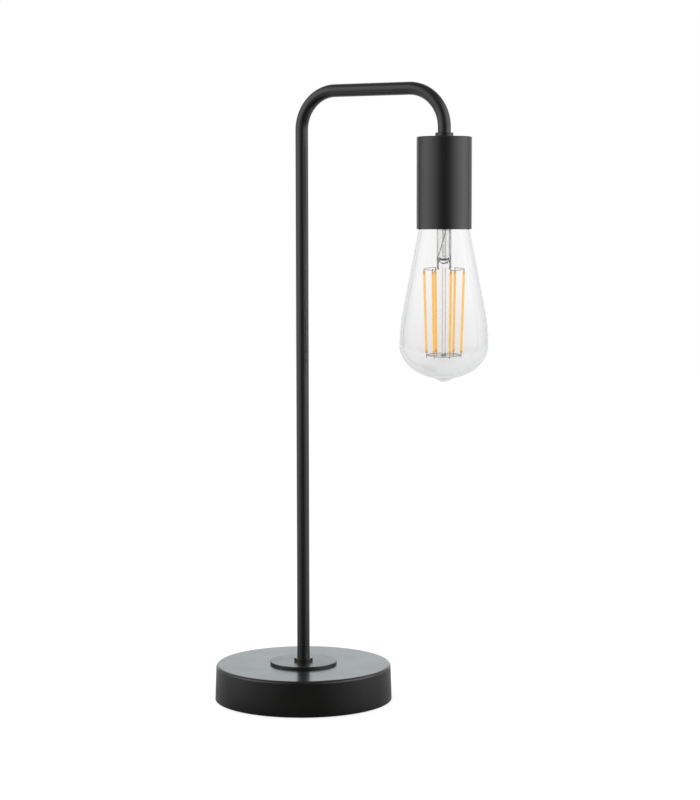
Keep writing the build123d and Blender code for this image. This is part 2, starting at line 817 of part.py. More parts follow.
# Bulb: the glass, drawn as one closed wall between two like outlines
def glass_side(inset):
    """The wall's outline from neck to belly, moved towards the axis by inset."""
    lean = bulb_side_lean
    top = (
        bulb_mouth_radius - bulb_shoulder_rise * tan(lean) - inset * cos(lean),
        bulb_shoulder_rise - inset * sin(lean),
    )
    bottom = (
        bulb_mouth_radius + bulb_side_end * tan(lean) - inset * cos(lean),
        -bulb_side_end - inset * sin(lean),
    )
    neck = (bulb_neck_radius - inset, bulb_neck_start - inset)
    Line((bulb_neck_radius - inset, bulb_neck_top), neck)
    TangentArc(top, neck, tangent=(-sin(lean), cos(lean)))
    Line(top, bottom)
    TangentArc((bulb_radius - inset, -bulb_belly_depth), bottom, tangent=(0, 1))


with BuildPart() as bulb_glass:
    dome_bottom_depth = bulb_belly_depth + bulb_dome_height
    tip_root_angle = Vector(1, 0, 0).get_angle(
        Vector(tip_root_radius, (bulb_radius**2 - tip_root_radius**2) ** 0.5, 0)
    )
    tip_root_depth = bulb_belly_depth + bulb_dome_height * sin(radians(tip_root_angle))
    with BuildSketch(bulb_section):
        with BuildLine():
            glass_side(0)
            glass_side(bulb_wall)
            Line(
                (bulb_neck_radius, bulb_neck_top),
                (bulb_neck_radius - bulb_wall, bulb_neck_top),
            )
            EllipticalCenterArc(
                (0, -bulb_belly_depth),
                bulb_radius,
                bulb_dome_height,
                start_angle=-tip_root_angle,
                arc_size=tip_root_angle,
            )
            Spline(
                (tip_root_radius, -tip_root_depth),
                (tip_waist_radius, -bulb_proud + tip_waist_drop),
                (0, -bulb_proud),
                tangents=[(-1, -0.25), (-1, 0)],
            )
            Line((0, -bulb_proud), (0, -dome_bottom_depth + bulb_wall))
            EllipticalCenterArc(
                (0, -bulb_belly_depth),
                bulb_radius - bulb_wall,
                bulb_dome_height - bulb_wall,
                start_angle=-90,
                arc_size=90,
            )
        make_face()
    revolve(axis=bulb_axis)
bulb_glass.part.label = "bulb_glass"
export_step(bulb_glass.part, "parts/bulb_glass.step")

# Screw cap, its glass insulator and the contact riveted through it
with BuildPart() as bulb_cap:
    with BuildSketch(cup_section):
        with BuildLine():
            Polyline(
                (cap_radius - cap_wall, cap_edge_z),
                (cap_radius, cap_edge_z),
                (cap_radius, cap_shell_top),
                (cap_top_radius, cap_top),
                (cap_top_radius - cap_wall, cap_top),
                (cap_top_radius - cap_wall, cap_top - cap_wall),
                (cap_radius - cap_wall, cap_shell_top - cap_wall / 2),
                close=True,
            )
        make_face()
    revolve(axis=bulb_axis)
bulb_cap.part.label = "bulb_cap"
export_step(bulb_cap.part, "parts/bulb_cap.step")

with BuildPart() as bulb_insulator:
    with BuildSketch(cup_section):
        with BuildLine():
            Polyline(
                (contact_pin_radius + contact_gap, cap_top - insulator_spigot_length),
                (insulator_spigot_radius, cap_top - insulator_spigot_length),
                (insulator_spigot_radius, cap_top),
                (cap_top_radius, cap_top),
                (insulator_top_radius, insulator_top),
                (contact_pin_radius + contact_gap, insulator_top),
                close=True,
            )
        make_face()
    revolve(axis=bulb_axis)
bulb_insulator.part.label = "bulb_insulator"
export_step(bulb_insulator.part, "parts/bulb_insulator.step")

with BuildPart() as bulb_contact:
    contact_seat = insulator_top + contact_gap
    with BuildSketch(cup_section):
        with BuildLine():
            Polyline(
                (0, cap_tip_z),
                (0, contact_seat - contact_pin_length),
                (contact_pin_radius, contact_seat - contact_pin_length),
                (contact_pin_radius, contact_seat),
                (contact_radius, contact_seat),
                (contact_radius, contact_seat + contact_rim),
            )
            TangentArc(
                (0, cap_tip_z),
                (contact_radius, contact_seat + contact_rim),
                tangent=(1, 0),
            )
        make_face()
    revolve(axis=bulb_axis)
bulb_contact.part.label = "bulb_contact"
export_step(bulb_contact.part, "parts/bulb_contact.step")

# Driver board inside the cap
with BuildPart() as bulb_driver:
    with BuildSketch(mount_plane.offset(driver_height)):
        Circle(driver_board_radius)
    extrude(amount=driver_board_thickness)
    with BuildSketch(mount_plane.offset(driver_height + driver_board_thickness)):
        with Locations((-driver_capacitor_radius, 0)):
            Circle(driver_capacitor_radius)
    extrude(amount=driver_capacitor_height)
    with BuildSketch(mount_plane.offset(driver_height + driver_board_thickness)):
        with Locations((driver_chip_size, 0)):
            Rectangle(driver_chip_size, driver_chip_size)
    extrude(amount=driver_chip_height)
bulb_driver.part.label = "bulb_driver"
export_step(bulb_driver.part, "parts/bulb_driver.step")

# Glass mount: flare, exhaust tube, pinched press and the centre rod
lead_places = [(-lead_spacing / 2, 0), (lead_spacing / 2, 0)]
with BuildPart() as bulb_mount:
    with BuildSketch(bulb_section):
        with BuildLine():
            Polyline(
                (bulb_neck_radius - bulb_wall, bulb_neck_top),
                (bulb_neck_radius, bulb_neck_top),
                (bulb_neck_radius, bulb_neck_top + flare_rim),
                (bulb_neck_radius - bulb_wall, bulb_neck_top + flare_rim),
            )
            TangentArc(
                (flare_radius - flare_wall, flare_start),
                (bulb_neck_radius - bulb_wall, bulb_neck_top + flare_rim),
                tangent=(0, 1),
            )
            Polyline(
                (flare_radius - flare_wall, flare_start),
                (flare_radius - flare_wall, -press_top),
                (flare_radius, -press_top),
                (flare_radius, flare_start),
            )
            TangentArc(
                (flare_radius, flare_start),
                (bulb_neck_radius - bulb_wall, bulb_neck_top),
                tangent=(0, 1),
            )
        make_face()
    revolve(axis=bulb_axis)
    with BuildSketch(mount_plane.offset(-press_top)):
        Circle(flare_radius)
    with BuildSketch(mount_plane.offset(-press_shoulder)):
        RectangleRounded(press_width, press_thickness, press_corner_radius)
    loft()
    with BuildSketch(mount_plane.offset(-press_bottom)):
        RectangleRounded(press_width, press_thickness, press_corner_radius)
    extrude(amount=press_bottom - press_shoulder)
    with BuildSketch(mount_plane.offset(-press_top)):
        Circle(exhaust_radius)
        Circle(exhaust_bore_radius, mode=Mode.SUBTRACT)
    extrude(amount=press_top + exhaust_top)
    with BuildSketch(mount_plane.offset(-rod_bottom)):
        Circle(rod_radius)
    extrude(amount=rod_bottom - press_bottom)
    with BuildSketch(mount_plane.offset(-press_bottom)):
        with Locations(*lead_places):
            Circle(lead_radius + lead_hole_gap)
    extrude(amount=press_bottom - press_top, mode=Mode.SUBTRACT)
bulb_mount.part.label = "bulb_mount"
export_step(bulb_mount.part, "parts/bulb_mount.step")

# Lead wires: one runs straight down, the other crosses in front of the exhaust tube
lead_foot = frame_top - frame_wire_radius - frame_gap
with BuildPart() as lead_straight:
    with BuildSketch(mount_plane.offset(-lead_foot)):
        with Locations(lead_places[1]):
            Circle(lead_radius)
    extrude(amount=lead_foot + driver_height)
lead_straight.part.label = "lead_straight"
export_step(lead_straight.part, "parts/lead_straight.step")

with BuildPart() as lead_crossed:
    with BuildLine() as crossed_route:
        FilletPolyline(
            mount_point(lead_cross_x, lead_cross_y, -driver_height),
            mount_point(lead_cross_x, lead_cross_y, lead_cross_depth),
            mount_point(-lead_spacing / 2, 0, press_top),
            mount_point(-lead_spacing / 2, 0, lead_foot),
            radius=lead_bend_radius,
        )
    with BuildSketch(mount_plane.offset(driver_height)):
        with Locations((lead_cross_x, lead_cross_y)):
            Circle(lead_radius)
    sweep(path=crossed_route.line)
lead_crossed.part.label = "lead_crossed"
export_step(lead_crossed.part, "parts/lead_crossed.step")


# Upper frames: each carries half of the filaments and reaches in to its lead wire
def upper_frame(first_angle, lead_x):
    """An arc of wire over three filaments, from first_angle, with its run to the lead."""
    reach = 360 / filament_count * (filament_count / 2 - 1)
    run_angle = first_angle if lead_x > 0 else first_angle + reach
    arc_plane = mount_plane.rotated((0, 0, first_angle))
    run_start = cage_point(cage_top_radius, run_angle, frame_top)
    run_end = mount_point(lead_x, 0, frame_top)
    with BuildPart() as frame:
        with BuildSketch(Plane(origin=arc_plane.origin, x_dir=arc_plane.x_dir, z_dir=-arc_plane.y_dir)):
            with Locations((cage_top_radius, -frame_top)):
                Circle(frame_wire_radius)
        revolve(axis=bulb_axis, revolution_arc=reach)
        with BuildSketch(Plane(origin=run_start, z_dir=run_end - run_start)):
            Circle(frame_wire_radius)
        extrude(amount=(run_end - run_start).length + lead_radius)
    return frame


upper_frame_left = upper_frame(filament_first_angle + 180, -lead_spacing / 2)
upper_frame_left.part.label = "upper_frame_left"
export_step(upper_frame_left.part, "parts/upper_frame_left.step")

upper_frame_right = upper_frame(filament_first_angle, lead_spacing / 2)
upper_frame_right.part.label = "upper_frame_right"
export_step(upper_frame_right.part, "parts/upper_frame_right.step")

# Lower frame: a ring inside the filaments' feet, held by a crossbar and a hub on the rod
ring_radius = cage_bottom_radius - tab_radius - frame_wire_radius - frame_gap
with BuildPart() as lower_frame:
    with BuildSketch(bulb_section):
        with Locations((ring_radius, -frame_bottom)):
            Circle(frame_wire_radius)
    revolve(axis=bulb_axis)
    with BuildSketch(mount_plane.offset(-frame_bottom - hub_height / 2)):
        Circle(hub_radius)
    extrude(amount=hub_height)
    bar_end = mount_point(-ring_radius, 0, frame_bottom)
    with BuildSketch(Plane(origin=bar_end, z_dir=mount_plane.x_dir)):
        Circle(frame_wire_radius)
    extrude(amount=2 * ring_radius)
    with BuildSketch(mount_plane.offset(-frame_bottom - hub_height / 2)):
        Circle(rod_radius + lead_hole_gap)
    extrude(amount=hub_height, mode=Mode.SUBTRACT)
lower_frame.part.label = "lower_frame"
export_step(lower_frame.part, "parts/lower_frame.step")

# Filaments: a coated bar with a wire tab on each end, leaning in towards the bottom
for number in range(filament_count):
    angle = filament_first_angle + number * 360 / filament_count
    top = cage_point(cage_top_radius, angle, filament_top)
    bottom = cage_point(cage_bottom_radius, angle, filament_bottom)
    up = (top - bottom).normalized()
    tab_rise = filament_top - frame_top - frame_wire_radius - frame_gap
    with BuildPart() as filament:
        with BuildSketch(Plane(origin=bottom, z_dir=up)):
            Circle(filament_radius)
        extrude(amount=(top - bottom).length)
        with BuildSketch(Plane(origin=bottom - up * tab_drop, z_dir=up)):
            Circle(tab_radius)
        extrude(amount=(top - bottom).length + tab_drop + tab_rise)
    filament.part.label = f"filament_{number + 1}"
    export_step(filament.part, f"parts/filament_{number + 1}.step")
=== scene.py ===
"""Dresses a table lamp: black powder-coated steel with a clear filament bulb in its cup.

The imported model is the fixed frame. A node whose shape is right keeps it and takes a finish here.
A node whose real form has more in it, such as a rolled thread, a slotted screw or a welded wire, is
rebuilt in the same place. Sizes are in millimetres, and turn to metres where a mesh is made.
"""

from __future__ import annotations

import json
import logging
import math
from dataclasses import dataclass, field, replace
from enum import Enum
from typing import Any, Sequence

import bmesh
import bpy
from mathutils import Matrix, Vector

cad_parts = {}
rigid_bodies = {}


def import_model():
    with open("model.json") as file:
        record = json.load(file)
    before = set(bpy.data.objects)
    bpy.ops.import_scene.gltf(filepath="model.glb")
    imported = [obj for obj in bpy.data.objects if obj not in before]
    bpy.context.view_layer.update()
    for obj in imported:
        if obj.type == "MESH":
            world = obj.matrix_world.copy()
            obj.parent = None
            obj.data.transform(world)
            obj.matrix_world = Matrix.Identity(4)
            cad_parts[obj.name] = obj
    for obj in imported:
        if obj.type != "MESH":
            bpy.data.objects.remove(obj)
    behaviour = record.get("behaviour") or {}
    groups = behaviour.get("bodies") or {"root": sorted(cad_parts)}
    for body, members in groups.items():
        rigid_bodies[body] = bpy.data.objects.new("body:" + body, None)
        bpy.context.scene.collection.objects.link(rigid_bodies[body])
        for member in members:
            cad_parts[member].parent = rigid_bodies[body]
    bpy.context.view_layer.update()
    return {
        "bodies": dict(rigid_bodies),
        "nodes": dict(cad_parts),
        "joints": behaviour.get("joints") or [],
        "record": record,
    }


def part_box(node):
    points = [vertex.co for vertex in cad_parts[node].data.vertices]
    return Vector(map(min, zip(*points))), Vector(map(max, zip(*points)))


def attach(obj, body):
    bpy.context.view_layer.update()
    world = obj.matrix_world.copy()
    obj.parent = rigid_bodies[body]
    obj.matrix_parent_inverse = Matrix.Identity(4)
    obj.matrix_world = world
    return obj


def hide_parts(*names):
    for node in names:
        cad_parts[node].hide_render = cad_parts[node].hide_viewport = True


log = logging.getLogger("table_lamp")
MM = 0.001
TURN = math.tau
# Points closer than this, in millimetres, are one
SAME_POINT = 0.0002
FLOAT = "NodeSocketFloat"
INTEGER = "NodeSocketInt"
MATERIAL = "NodeSocketMaterial"
VECTOR = "NodeSocketVector"
GEOMETRY = "NodeSocketGeometry"
MATH = "ShaderNodeMath"
WHITE = (1.0, 1.0, 1.0, 1.0)
Colour = tuple[float, float, float, float]
Point = tuple[float, float, float]
Tree = bpy.types.NodeTree
Node = bpy.types.Node
Socket = bpy.types.NodeSocket
Mesh = bpy.types.Mesh
# The operation of a Math node and its terms, which may be numbers, nodes, sockets and formulas
Formula = tuple[Any, ...]
Steps = Sequence[tuple[Tree, dict[str, Any]]]


def linear(code: str) -> Colour:
    """Turn an sRGB hex code into linear light.

    Args:
        code: the colour as #rrggbb.

    Returns:
        Red, green, blue and an alpha of 1.
    """
    shares = [int(code[place : place + 2], 16) / 255 for place in (1, 3, 5)]
    red, green, blue = (
        share / 12.92 if share <= 0.04045 else ((share + 0.055) / 1.055) ** 2.4 for share in shares
    )
    return red, green, blue, 1.0


def per_mm(size: float) -> float:
    """The scale at which a pattern repeats every size millimetres."""
    return 1.0 / (size * MM)


def add_node(tree: Tree, kind: str, values: dict[str | int, Any] | None = None, **settings: Any) -> Node:
    """Add a node with its settings, values and links.

    Args:
        tree: the tree it goes in.
        kind: the node's type.
        values: for an input's name or number, a plain value, the socket that feeds it, the node whose
            first output does, or a formula.
        settings: the node's own properties.

    Returns:
        The node.
    """
    node = tree.nodes.new(kind)
    for name, setting in settings.items():
        setattr(node, name, setting)
    feed(tree, node, values or {})
    return node


def feed(tree: Tree, node: Node, values: dict[str | int, Any]) -> None:
    """Set or link some inputs of a node.

    Args:
        tree: the node's tree.
        node: the node.
        values: as add_node takes them.
    """
    for key, value in values.items():
        if isinstance(value, tuple) and isinstance(value[0], str):
            operation, *terms = value
            value = add_node(tree, MATH, dict(enumerate(terms)), operation=operation)
        source = value.outputs[0] if isinstance(value, Node) else value
        if isinstance(source, Socket):
            tree.links.new(source, node.inputs[key])
        else:
            node.inputs[key].default_value = source


# Finishes


class Pattern(Enum):
    """How a relief is laid out over a surface: a texture and the output that it takes."""

    GRAIN = ("ShaderNodeTexNoise", "Fac")
    CELLS = ("ShaderNodeTexVoronoi", "Distance")


@dataclass(frozen=True)
class Relief:
    """One pattern that stands out of a surface, with its size and depth in millimetres."""

    size: float
    depth: float
    pattern: Pattern = Pattern.GRAIN
    stretch: Point = (1.0, 1.0, 1.0)

    def height(self, tree: Tree, place: Socket) -> Socket:
        """Draw the pattern.

        Args:
            tree: the material's tree.
            place: the coordinates that it reads.

        Returns:
            The socket with its height, from 0 to 1.
        """
        kind, output = self.pattern.value
        mapped = add_node(tree, "ShaderNodeMapping", {"Vector": place, "Scale": self.stretch})
        values = {"Vector": mapped, "Scale": per_mm(self.size), "Detail": 2.0}
        return add_node(tree, kind, values).outputs[output]


@dataclass(frozen=True)
class Finish:
    """A finish: two close colours in clouds, a span of roughness, and reliefs."""

    name: str
    slot: str
    colour: str
    cloud_colour: str
    roughness: tuple[float, float]
    cloud: float = 12.0
    reliefs: tuple[Relief, ...] = ()
    sockets: dict[str, Any] = field(default_factory=dict)

    def build(self) -> bpy.types.Material:
        """Make the material, once for each name.

        Returns:
            The material.
        """
        known = bpy.data.materials.get(self.name)
        if known:
            return known
        material = bpy.data.materials.new(self.name)
        material.use_nodes = True
        tree = material.node_tree
        tree.nodes.clear()
        shader = add_node(tree, "ShaderNodeBsdfPrincipled", self.sockets)
        add_node(tree, "ShaderNodeOutputMaterial", {"Surface": shader})
        self.draw(tree, add_node(tree, "ShaderNodeTexCoord").outputs["Object"], shader)
        return material

    def draw(self, tree: Tree, place: Socket, shader: Node) -> None:
        """Link the colours, the roughness and the reliefs to the shader.

        Args:
            tree: the material's tree.
            place: the Object coordinates.
            shader: the Principled node.
        """
        size = {"Vector": place, "Scale": per_mm(self.cloud), "Detail": 3.0}
        clouds = add_node(tree, "ShaderNodeTexNoise", size).outputs["Fac"]
        span = {"Value": clouds, "From Min": 0.35, "From Max": 0.65}
        share = add_node(tree, "ShaderNodeMapRange", span)
        colours = {"Factor": share, 6: linear(self.colour), 7: linear(self.cloud_colour)}
        tint = add_node(tree, "ShaderNodeMix", colours, data_type="RGBA").outputs[2]
        low, high = self.roughness
        rough = add_node(tree, "ShaderNodeMapRange", {"Value": share, "To Min": low, "To Max": high})
        feed(tree, shader, {"Base Color": tint, "Roughness": rough})
        for relief in self.reliefs:
            values = {"Height": relief.height(tree, place), "Distance": relief.depth * MM}
            if shader.inputs["Normal"].is_linked:
                values["Normal"] = shader.inputs["Normal"].links[0].from_socket
            feed(tree, shader, {"Normal": add_node(tree, "ShaderNodeBump", values)})


def overlay(tree: Tree, shader: Node, share: Node, code: str) -> None:
    """Lay a second colour over the one that a shader has.

    Args:
        tree: the material's tree.
        shader: the Principled node.
        share: how much of the second colour shows.
        code: the second colour.
    """
    under = shader.inputs["Base Color"].links[0].from_socket
    colours = {"Factor": share, 6: under, 7: linear(code)}
    tint = add_node(tree, "ShaderNodeMix", colours, data_type="RGBA")
    feed(tree, shader, {"Base Color": tint.outputs[2]})


@dataclass(frozen=True)
class GlassFinish(Finish):
    """Clear glass with painted shade: darker towards its outline, more so in its core, and over a band of
    heights.
    """

    # The painted shade towards the outline: its colour, and the span of facing over which it comes in
    outline_shade_colour: str = "#ffffff"
    edge: tuple[float, float] = (0.3, 1.0)
    # The painted shade over a band of heights: its colour, and the heights where it starts and where it
    # is full
    height_shade_colour: str = "#ffffff"
    shaded_heights: tuple[float, float] | None = None
    axis_x: float = 117.0
    core_radius: float = 0.0
    core_shade_gain: float = 0.25

    def draw(self, tree: Tree, place: Socket, shader: Node) -> None:
        """Draw the glass, then paint shade on it over a band of heights and towards its outline.

        Args:
            tree: the material's tree.
            place: the Object coordinates.
            shader: the Principled node.
        """
        super().draw(tree, place, shader)
        axes = add_node(tree, "ShaderNodeSeparateXYZ", {"Vector": place}).outputs
        # Painted shade, which deepens from the first height to the second
        if self.shaded_heights:
            start, end = (height * MM for height in self.shaded_heights)
            span = {"Value": axes["Z"], "From Min": start, "From Max": end}
            overlay(tree, shader, add_node(tree, "ShaderNodeMapRange", span), self.height_shade_colour)
        # Painted shade towards the outline, where the surface turns away from the eye, and stronger
        # within the core's radius
        facing = add_node(tree, "ShaderNodeLayerWeight", {"Blend": 0.5}).outputs["Facing"]
        if self.core_radius:
            out = ("SUBTRACT", axes["X"], self.axis_x * MM)
            square = ("MULTIPLY_ADD", out, out, ("MULTIPLY", axes["Y"], axes["Y"]))
            near = ("LESS_THAN", square, (self.core_radius * MM) ** 2)
            facing = ("MULTIPLY_ADD", near, self.core_shade_gain, facing)
        low, high = self.edge
        span = {"Value": facing, "From Min": low, "From Max": high}
        overlay(tree, shader, add_node(tree, "ShaderNodeMapRange", span), self.outline_shade_colour)


METAL = {"Metallic": 1.0}
GLASS = {"Transmission Weight": 1.0, "IOR": 1.5}

# Polyester powder on steel, sprayed and baked: satin and nearly black, and its orange peel only
# breaks up the reflections. The peel is drawn coarser than the real millimetre, to show at all.
POWDER_COAT = Finish(
    "steel_black_powder_coat_sprayed_and_baked", "black_powder_coat", "#10100f", "#131312", (0.2, 0.24),
    cloud=25.0, reliefs=(Relief(2.2, 0.012), Relief(0.7, 0.002)), sockets={"Specular IOR Level": 0.75},
)
# The same coat on the stamped plate, where it came out a shade rougher
PLATE_COAT = replace(
    POWDER_COAT, name="steel_stamped_black_powder_coat_sprayed_and_baked", roughness=(0.27, 0.31)
)
# Closed-cell foam, split and die-cut: dull near-black with cut bubbles
FOAM = Finish(
    "eva_foam_split_and_die_cut", "eva_foam", "#1c1c1d", "#29292b", (0.85, 0.95), cloud=2.0,
    reliefs=(Relief(0.9, 0.25, Pattern.CELLS),), sockets={"Sheen Weight": 0.15},
)
# Grey iron poured in sand: a rough dark skin with the grain of the mould
CAST_IRON = Finish(
    "grey_iron_sand_cast", "cast_iron", "#3b3937", "#4c4845", (0.55, 0.75), cloud=6.0,
    reliefs=(Relief(1.6, 0.2), Relief(5.0, 0.15, Pattern.CELLS)), sockets={"Metallic": 0.7},
)
# Low-carbon steel, electroplated with zinc: bright blue-grey with a faint cloud
ZINC_STEEL = Finish(
    "steel_zinc_electroplated", "zinc_plated_steel", "#b9bdc2", "#a6abb1", (0.26, 0.4), cloud=4.0,
    reliefs=(Relief(0.5, 0.01),), sockets=METAL,
)
# Brass bar, turned and left bare: warm yellow with lathe lines
BRASS = Finish(
    "brass_turned", "brass", "#c79a4b", "#b1843c", (0.22, 0.36), cloud=3.0,
    reliefs=(Relief(0.4, 0.01, stretch=(0.1, 1.0, 1.0)),), sockets=METAL,
)
# Thermoplastic, injection moulded: matt black with the fine spark texture of its mould, which is drawn
# at twice its real grain
BLACK_PLASTIC = Finish(
    "thermoplastic_black_injection_moulded", "black_thermoplastic", "#161617", "#1f1f20", (0.42, 0.55),
    cloud=9.0, reliefs=(Relief(0.5, 0.03),),
)
# Undyed polyamide, moulded: milky cream, and a little light goes into it
POLYAMIDE = Finish(
    "polyamide_undyed_injection_moulded", "natural_polyamide", "#e2ddca", "#d6cfb8", (0.38, 0.5),
    reliefs=(Relief(0.8, 0.01),),
    sockets={
        "Subsurface Weight": 0.15, "Subsurface Radius": (0.0012, 0.001, 0.0007), "Subsurface Scale": 1.0,
    },
)
# Steatite, pressed and fired without a glaze: dry off-white ceramic with fine specks
STEATITE = Finish(
    "steatite_pressed_and_fired", "steatite", "#e4ddcd", "#d8cfbb", (0.6, 0.75), cloud=1.5,
    reliefs=(Relief(0.6, 0.03),),
)
# Soda-lime glass, blown in a mould and fire-polished: clear, with long shallow waves. Painted shade
# darkens it a little towards its outline, and from the middle of the bulb down to the tip
BLOWN_GLASS = GlassFinish(
    "soda_lime_glass_blown", "clear_glass", "#fafafa", "#f9f9f9", (0.0, 0.01), cloud=30.0,
    reliefs=(Relief(16.0, 0.02),), sockets=GLASS, outline_shade_colour="#e6e8e8", height_shade_colour="#eeeeee",
    shaded_heights=(312.3, 243.0),
)
# Glass tube, flared, melted together and pinched: clear, uneven where the jaws closed on it, with a
# strong painted shade towards its outline and round the axis in its core
PINCHED_GLASS = GlassFinish(
    "soda_lime_glass_flame_worked_and_pinched", "clear_glass", "#ffffff", "#fafafa", (0.0, 0.04),
    cloud=3.0, reliefs=(Relief(3.0, 0.12), Relief(1.4, 0.05, Pattern.CELLS)), sockets=GLASS,
    outline_shade_colour="#9a9d96", edge=(0.3, 0.8), core_radius=2.0,
)
# The row of bubbles and smoke that stays in the pinched seal: half clear and grey-green, with painted
# shade at the rims
SEAL_BUBBLES = GlassFinish(
    "soda_lime_glass_seal_bubbles", "clear_glass", "#74776a", "#4f5246", (0.05, 0.15), cloud=1.0,
    reliefs=(Relief(0.5, 0.02),), sockets=GLASS | {"Transmission Weight": 0.35}, outline_shade_colour="#35372f",
    edge=(0.1, 0.6),
)
# Brass sheet, drawn, rolled and nickel plated: bright, slightly yellow silver
NICKEL_CAP = Finish(
    "brass_sheet_nickel_plated", "nickel_plated_cap", "#c9c5bb", "#bbb6aa", (0.18, 0.3), cloud=5.0,
    reliefs=(Relief(1.2, 0.012),), sockets=METAL,
)
# Opaque black glass, fused in the cap: smooth and glossy with a slight swirl
CAP_GLASS = Finish(
    "glass_opaque_black_fused", "black_cap_glass", "#0c0c10", "#15141b", (0.08, 0.2), cloud=4.0,
    reliefs=(Relief(2.5, 0.08),),
)
# Tin solder, set as it flowed: dull silver with a wrinkled skin
SOLDER = Finish(
    "tin_solder_flowed", "solder", "#b4b4b0", "#9b9b98", (0.3, 0.48), cloud=1.5,
    reliefs=(Relief(1.1, 0.08),), sockets=METAL,
)
# Nickel wire, drawn and spot welded: grey, with lines from the die
NICKEL_WIRE = Finish(
    "nickel_wire_drawn", "nickel_wire", "#b3b1ab", "#9e9c96", (0.28, 0.42), cloud=2.0,
    reliefs=(Relief(0.25, 0.02, stretch=(1.0, 1.0, 0.1)),), sockets=METAL,
)
# The same wire where it was spot welded: melted, scorched and dull
WELD = Finish(
    "nickel_wire_spot_welded", "nickel_wire", "#5d5a53", "#46443f", (0.4, 0.6), cloud=0.8,
    reliefs=(Relief(0.3, 0.04),), sockets={"Metallic": 0.6},
)
# Glass-cloth laminate with solder mask: green, with the cloth just showing
BOARD = Finish(
    "glass_epoxy_board_solder_masked", "circuit_board", "#1d5b3c", "#256b46", (0.3, 0.4), cloud=1.2,
    reliefs=(Relief(0.6, 0.01),),
)
# Printed-circuit capacitor in a shrunk sleeve: near-black blue with a soft gloss
PART_SLEEVE = Finish(
    "pvc_sleeve_shrunk", "circuit_board", "#20242f", "#262b38", (0.3, 0.42), cloud=3.0,
    reliefs=(Relief(1.0, 0.01),),
)
# Filled epoxy, moulded round a chip: dull black
CHIP_EPOXY = Finish(
    "epoxy_black_transfer_moulded", "circuit_board", "#141415", "#1b1b1c", (0.5, 0.6), cloud=2.0,
    reliefs=(Relief(0.4, 0.02),),
)


@dataclass(frozen=True)
class PhosphorFinish(Finish):
    """Silicone filled with phosphor, moulded over the filament's chips, darker at both ends."""

    length: float = 58.9
    dark_end: float = 3.2
    end_colour: str = "#b08c45"

    def draw(self, tree: Tree, place: Socket, shader: Node) -> None:
        """Draw the coat, then darken its ends by the distance along the bar.

        Args:
            tree: the material's tree.
            place: the Object coordinates.
            shader: the Principled node.
        """
        super().draw(tree, place, shader)
        along = add_node(tree, "ShaderNodeAttribute", attribute_name="along").outputs["Fac"]
        nearest = ("MINIMUM", along, ("SUBTRACT", self.length * MM, along))
        full, clear = 0.4 * self.dark_end * MM, self.dark_end * MM
        span = {"Value": nearest, "From Min": full, "From Max": clear, "To Min": 1.0, "To Max": 0.0}
        overlay(tree, shader, add_node(tree, "ShaderNodeMapRange", span), self.end_colour)


# Silicone with yellow phosphor over a row of chips: chalky orange-yellow and smooth. Its emission is a
# painted glow, which makes it a little brighter than paint would be, though the bulb is off
PHOSPHOR = PhosphorFinish(
    "silicone_phosphor_moulded", "filament_phosphor", "#ffcb5c", "#ffd372", (0.45, 0.6), cloud=5.0,
    reliefs=(Relief(1.5, 0.02),),
    sockets={"Emission Color": linear("#ffb746"), "Emission Strength": 0.48},
)


class Insulation(Enum):
    """The colours of single wires, each with its other cloud colour."""

    BROWN = ("#5a3520", "#4c2c1a")
    BLUE = ("#2257a5", "#1d4b90")


@dataclass(frozen=True)
class WireFinish(Finish):
    """Extruded insulation that is stripped at both ends, where bare tinned copper shows."""

    foot_x: float = -26.6
    end_y: float = 4.1
    holder_z: float = 390.0
    copper: str = "#c9a58b"

    def draw(self, tree: Tree, place: Socket, shader: Node) -> None:
        """Draw the insulation, then the copper past the stripped ends.

        Args:
            tree: the material's tree.
            place: the Object coordinates.
            shader: the Principled node.
        """
        super().draw(tree, place, shader)
        axes = add_node(tree, "ShaderNodeSeparateXYZ", {"Vector": place}).outputs
        foot = ("LESS_THAN", axes["X"], self.foot_x * MM)
        side = ("GREATER_THAN", ("ABSOLUTE", axes["Y"]), self.end_y * MM)
        high = ("GREATER_THAN", axes["Z"], self.holder_z * MM)
        bare = add_node(tree, MATH, {0: side, 1: high, 2: foot}, operation="MULTIPLY_ADD")
        overlay(tree, shader, bare, self.copper)
        feed(tree, shader, {"Metallic": bare})


def insulation(choice: Insulation) -> WireFinish:
    """The finish of one internal wire: extruded PVC, smooth and slightly waxy.

    Args:
        choice: the wire's colour.

    Returns:
        The finish.
    """
    colour = choice.name.lower()
    name, slot = f"pvc_insulation_{colour}_extruded", f"{colour}_insulation"
    return WireFinish(name, slot, *choice.value, (0.35, 0.45), 8.0, (Relief(0.9, 0.02),))


# Geometry Nodes trees


def new_tree(
    name: str, kinds: dict[str, tuple[str, ...]]
) -> tuple[Tree, bpy.types.bpy_prop_collection]:
    """Start a Geometry Nodes tree with a geometry in and out, some named inputs and a finish.

    Args:
        name: the tree's name.
        kinds: for each socket type, the names of its inputs.

    Returns:
        The tree and the outputs of its group input.
    """
    tree = bpy.data.node_groups.new(name, "GeometryNodeTree")
    for kind, labels in {GEOMETRY: ("Geometry",), **kinds, MATERIAL: ("Finish",)}.items():
        for label in labels:
            tree.interface.new_socket(label, in_out="INPUT", socket_type=kind)
    tree.interface.new_socket("Geometry", in_out="OUTPUT", socket_type=GEOMETRY)
    return tree, tree.nodes.new("NodeGroupInput").outputs


def end_tree(tree: Tree, given: bpy.types.bpy_prop_collection, made: Node) -> Tree:
    """End a tree in Realize Instances and Set Material.

    Args:
        tree: the tree.
        given: the outputs of its group input.
        made: the node that gives its geometry.

    Returns:
        The tree.
    """
    real = add_node(tree, "GeometryNodeRealizeInstances", {"Geometry": made})
    finish = {"Geometry": real, "Material": given["Finish"]}
    add_node(tree, "NodeGroupOutput", {0: add_node(tree, "GeometryNodeSetMaterial", finish)})
    return tree


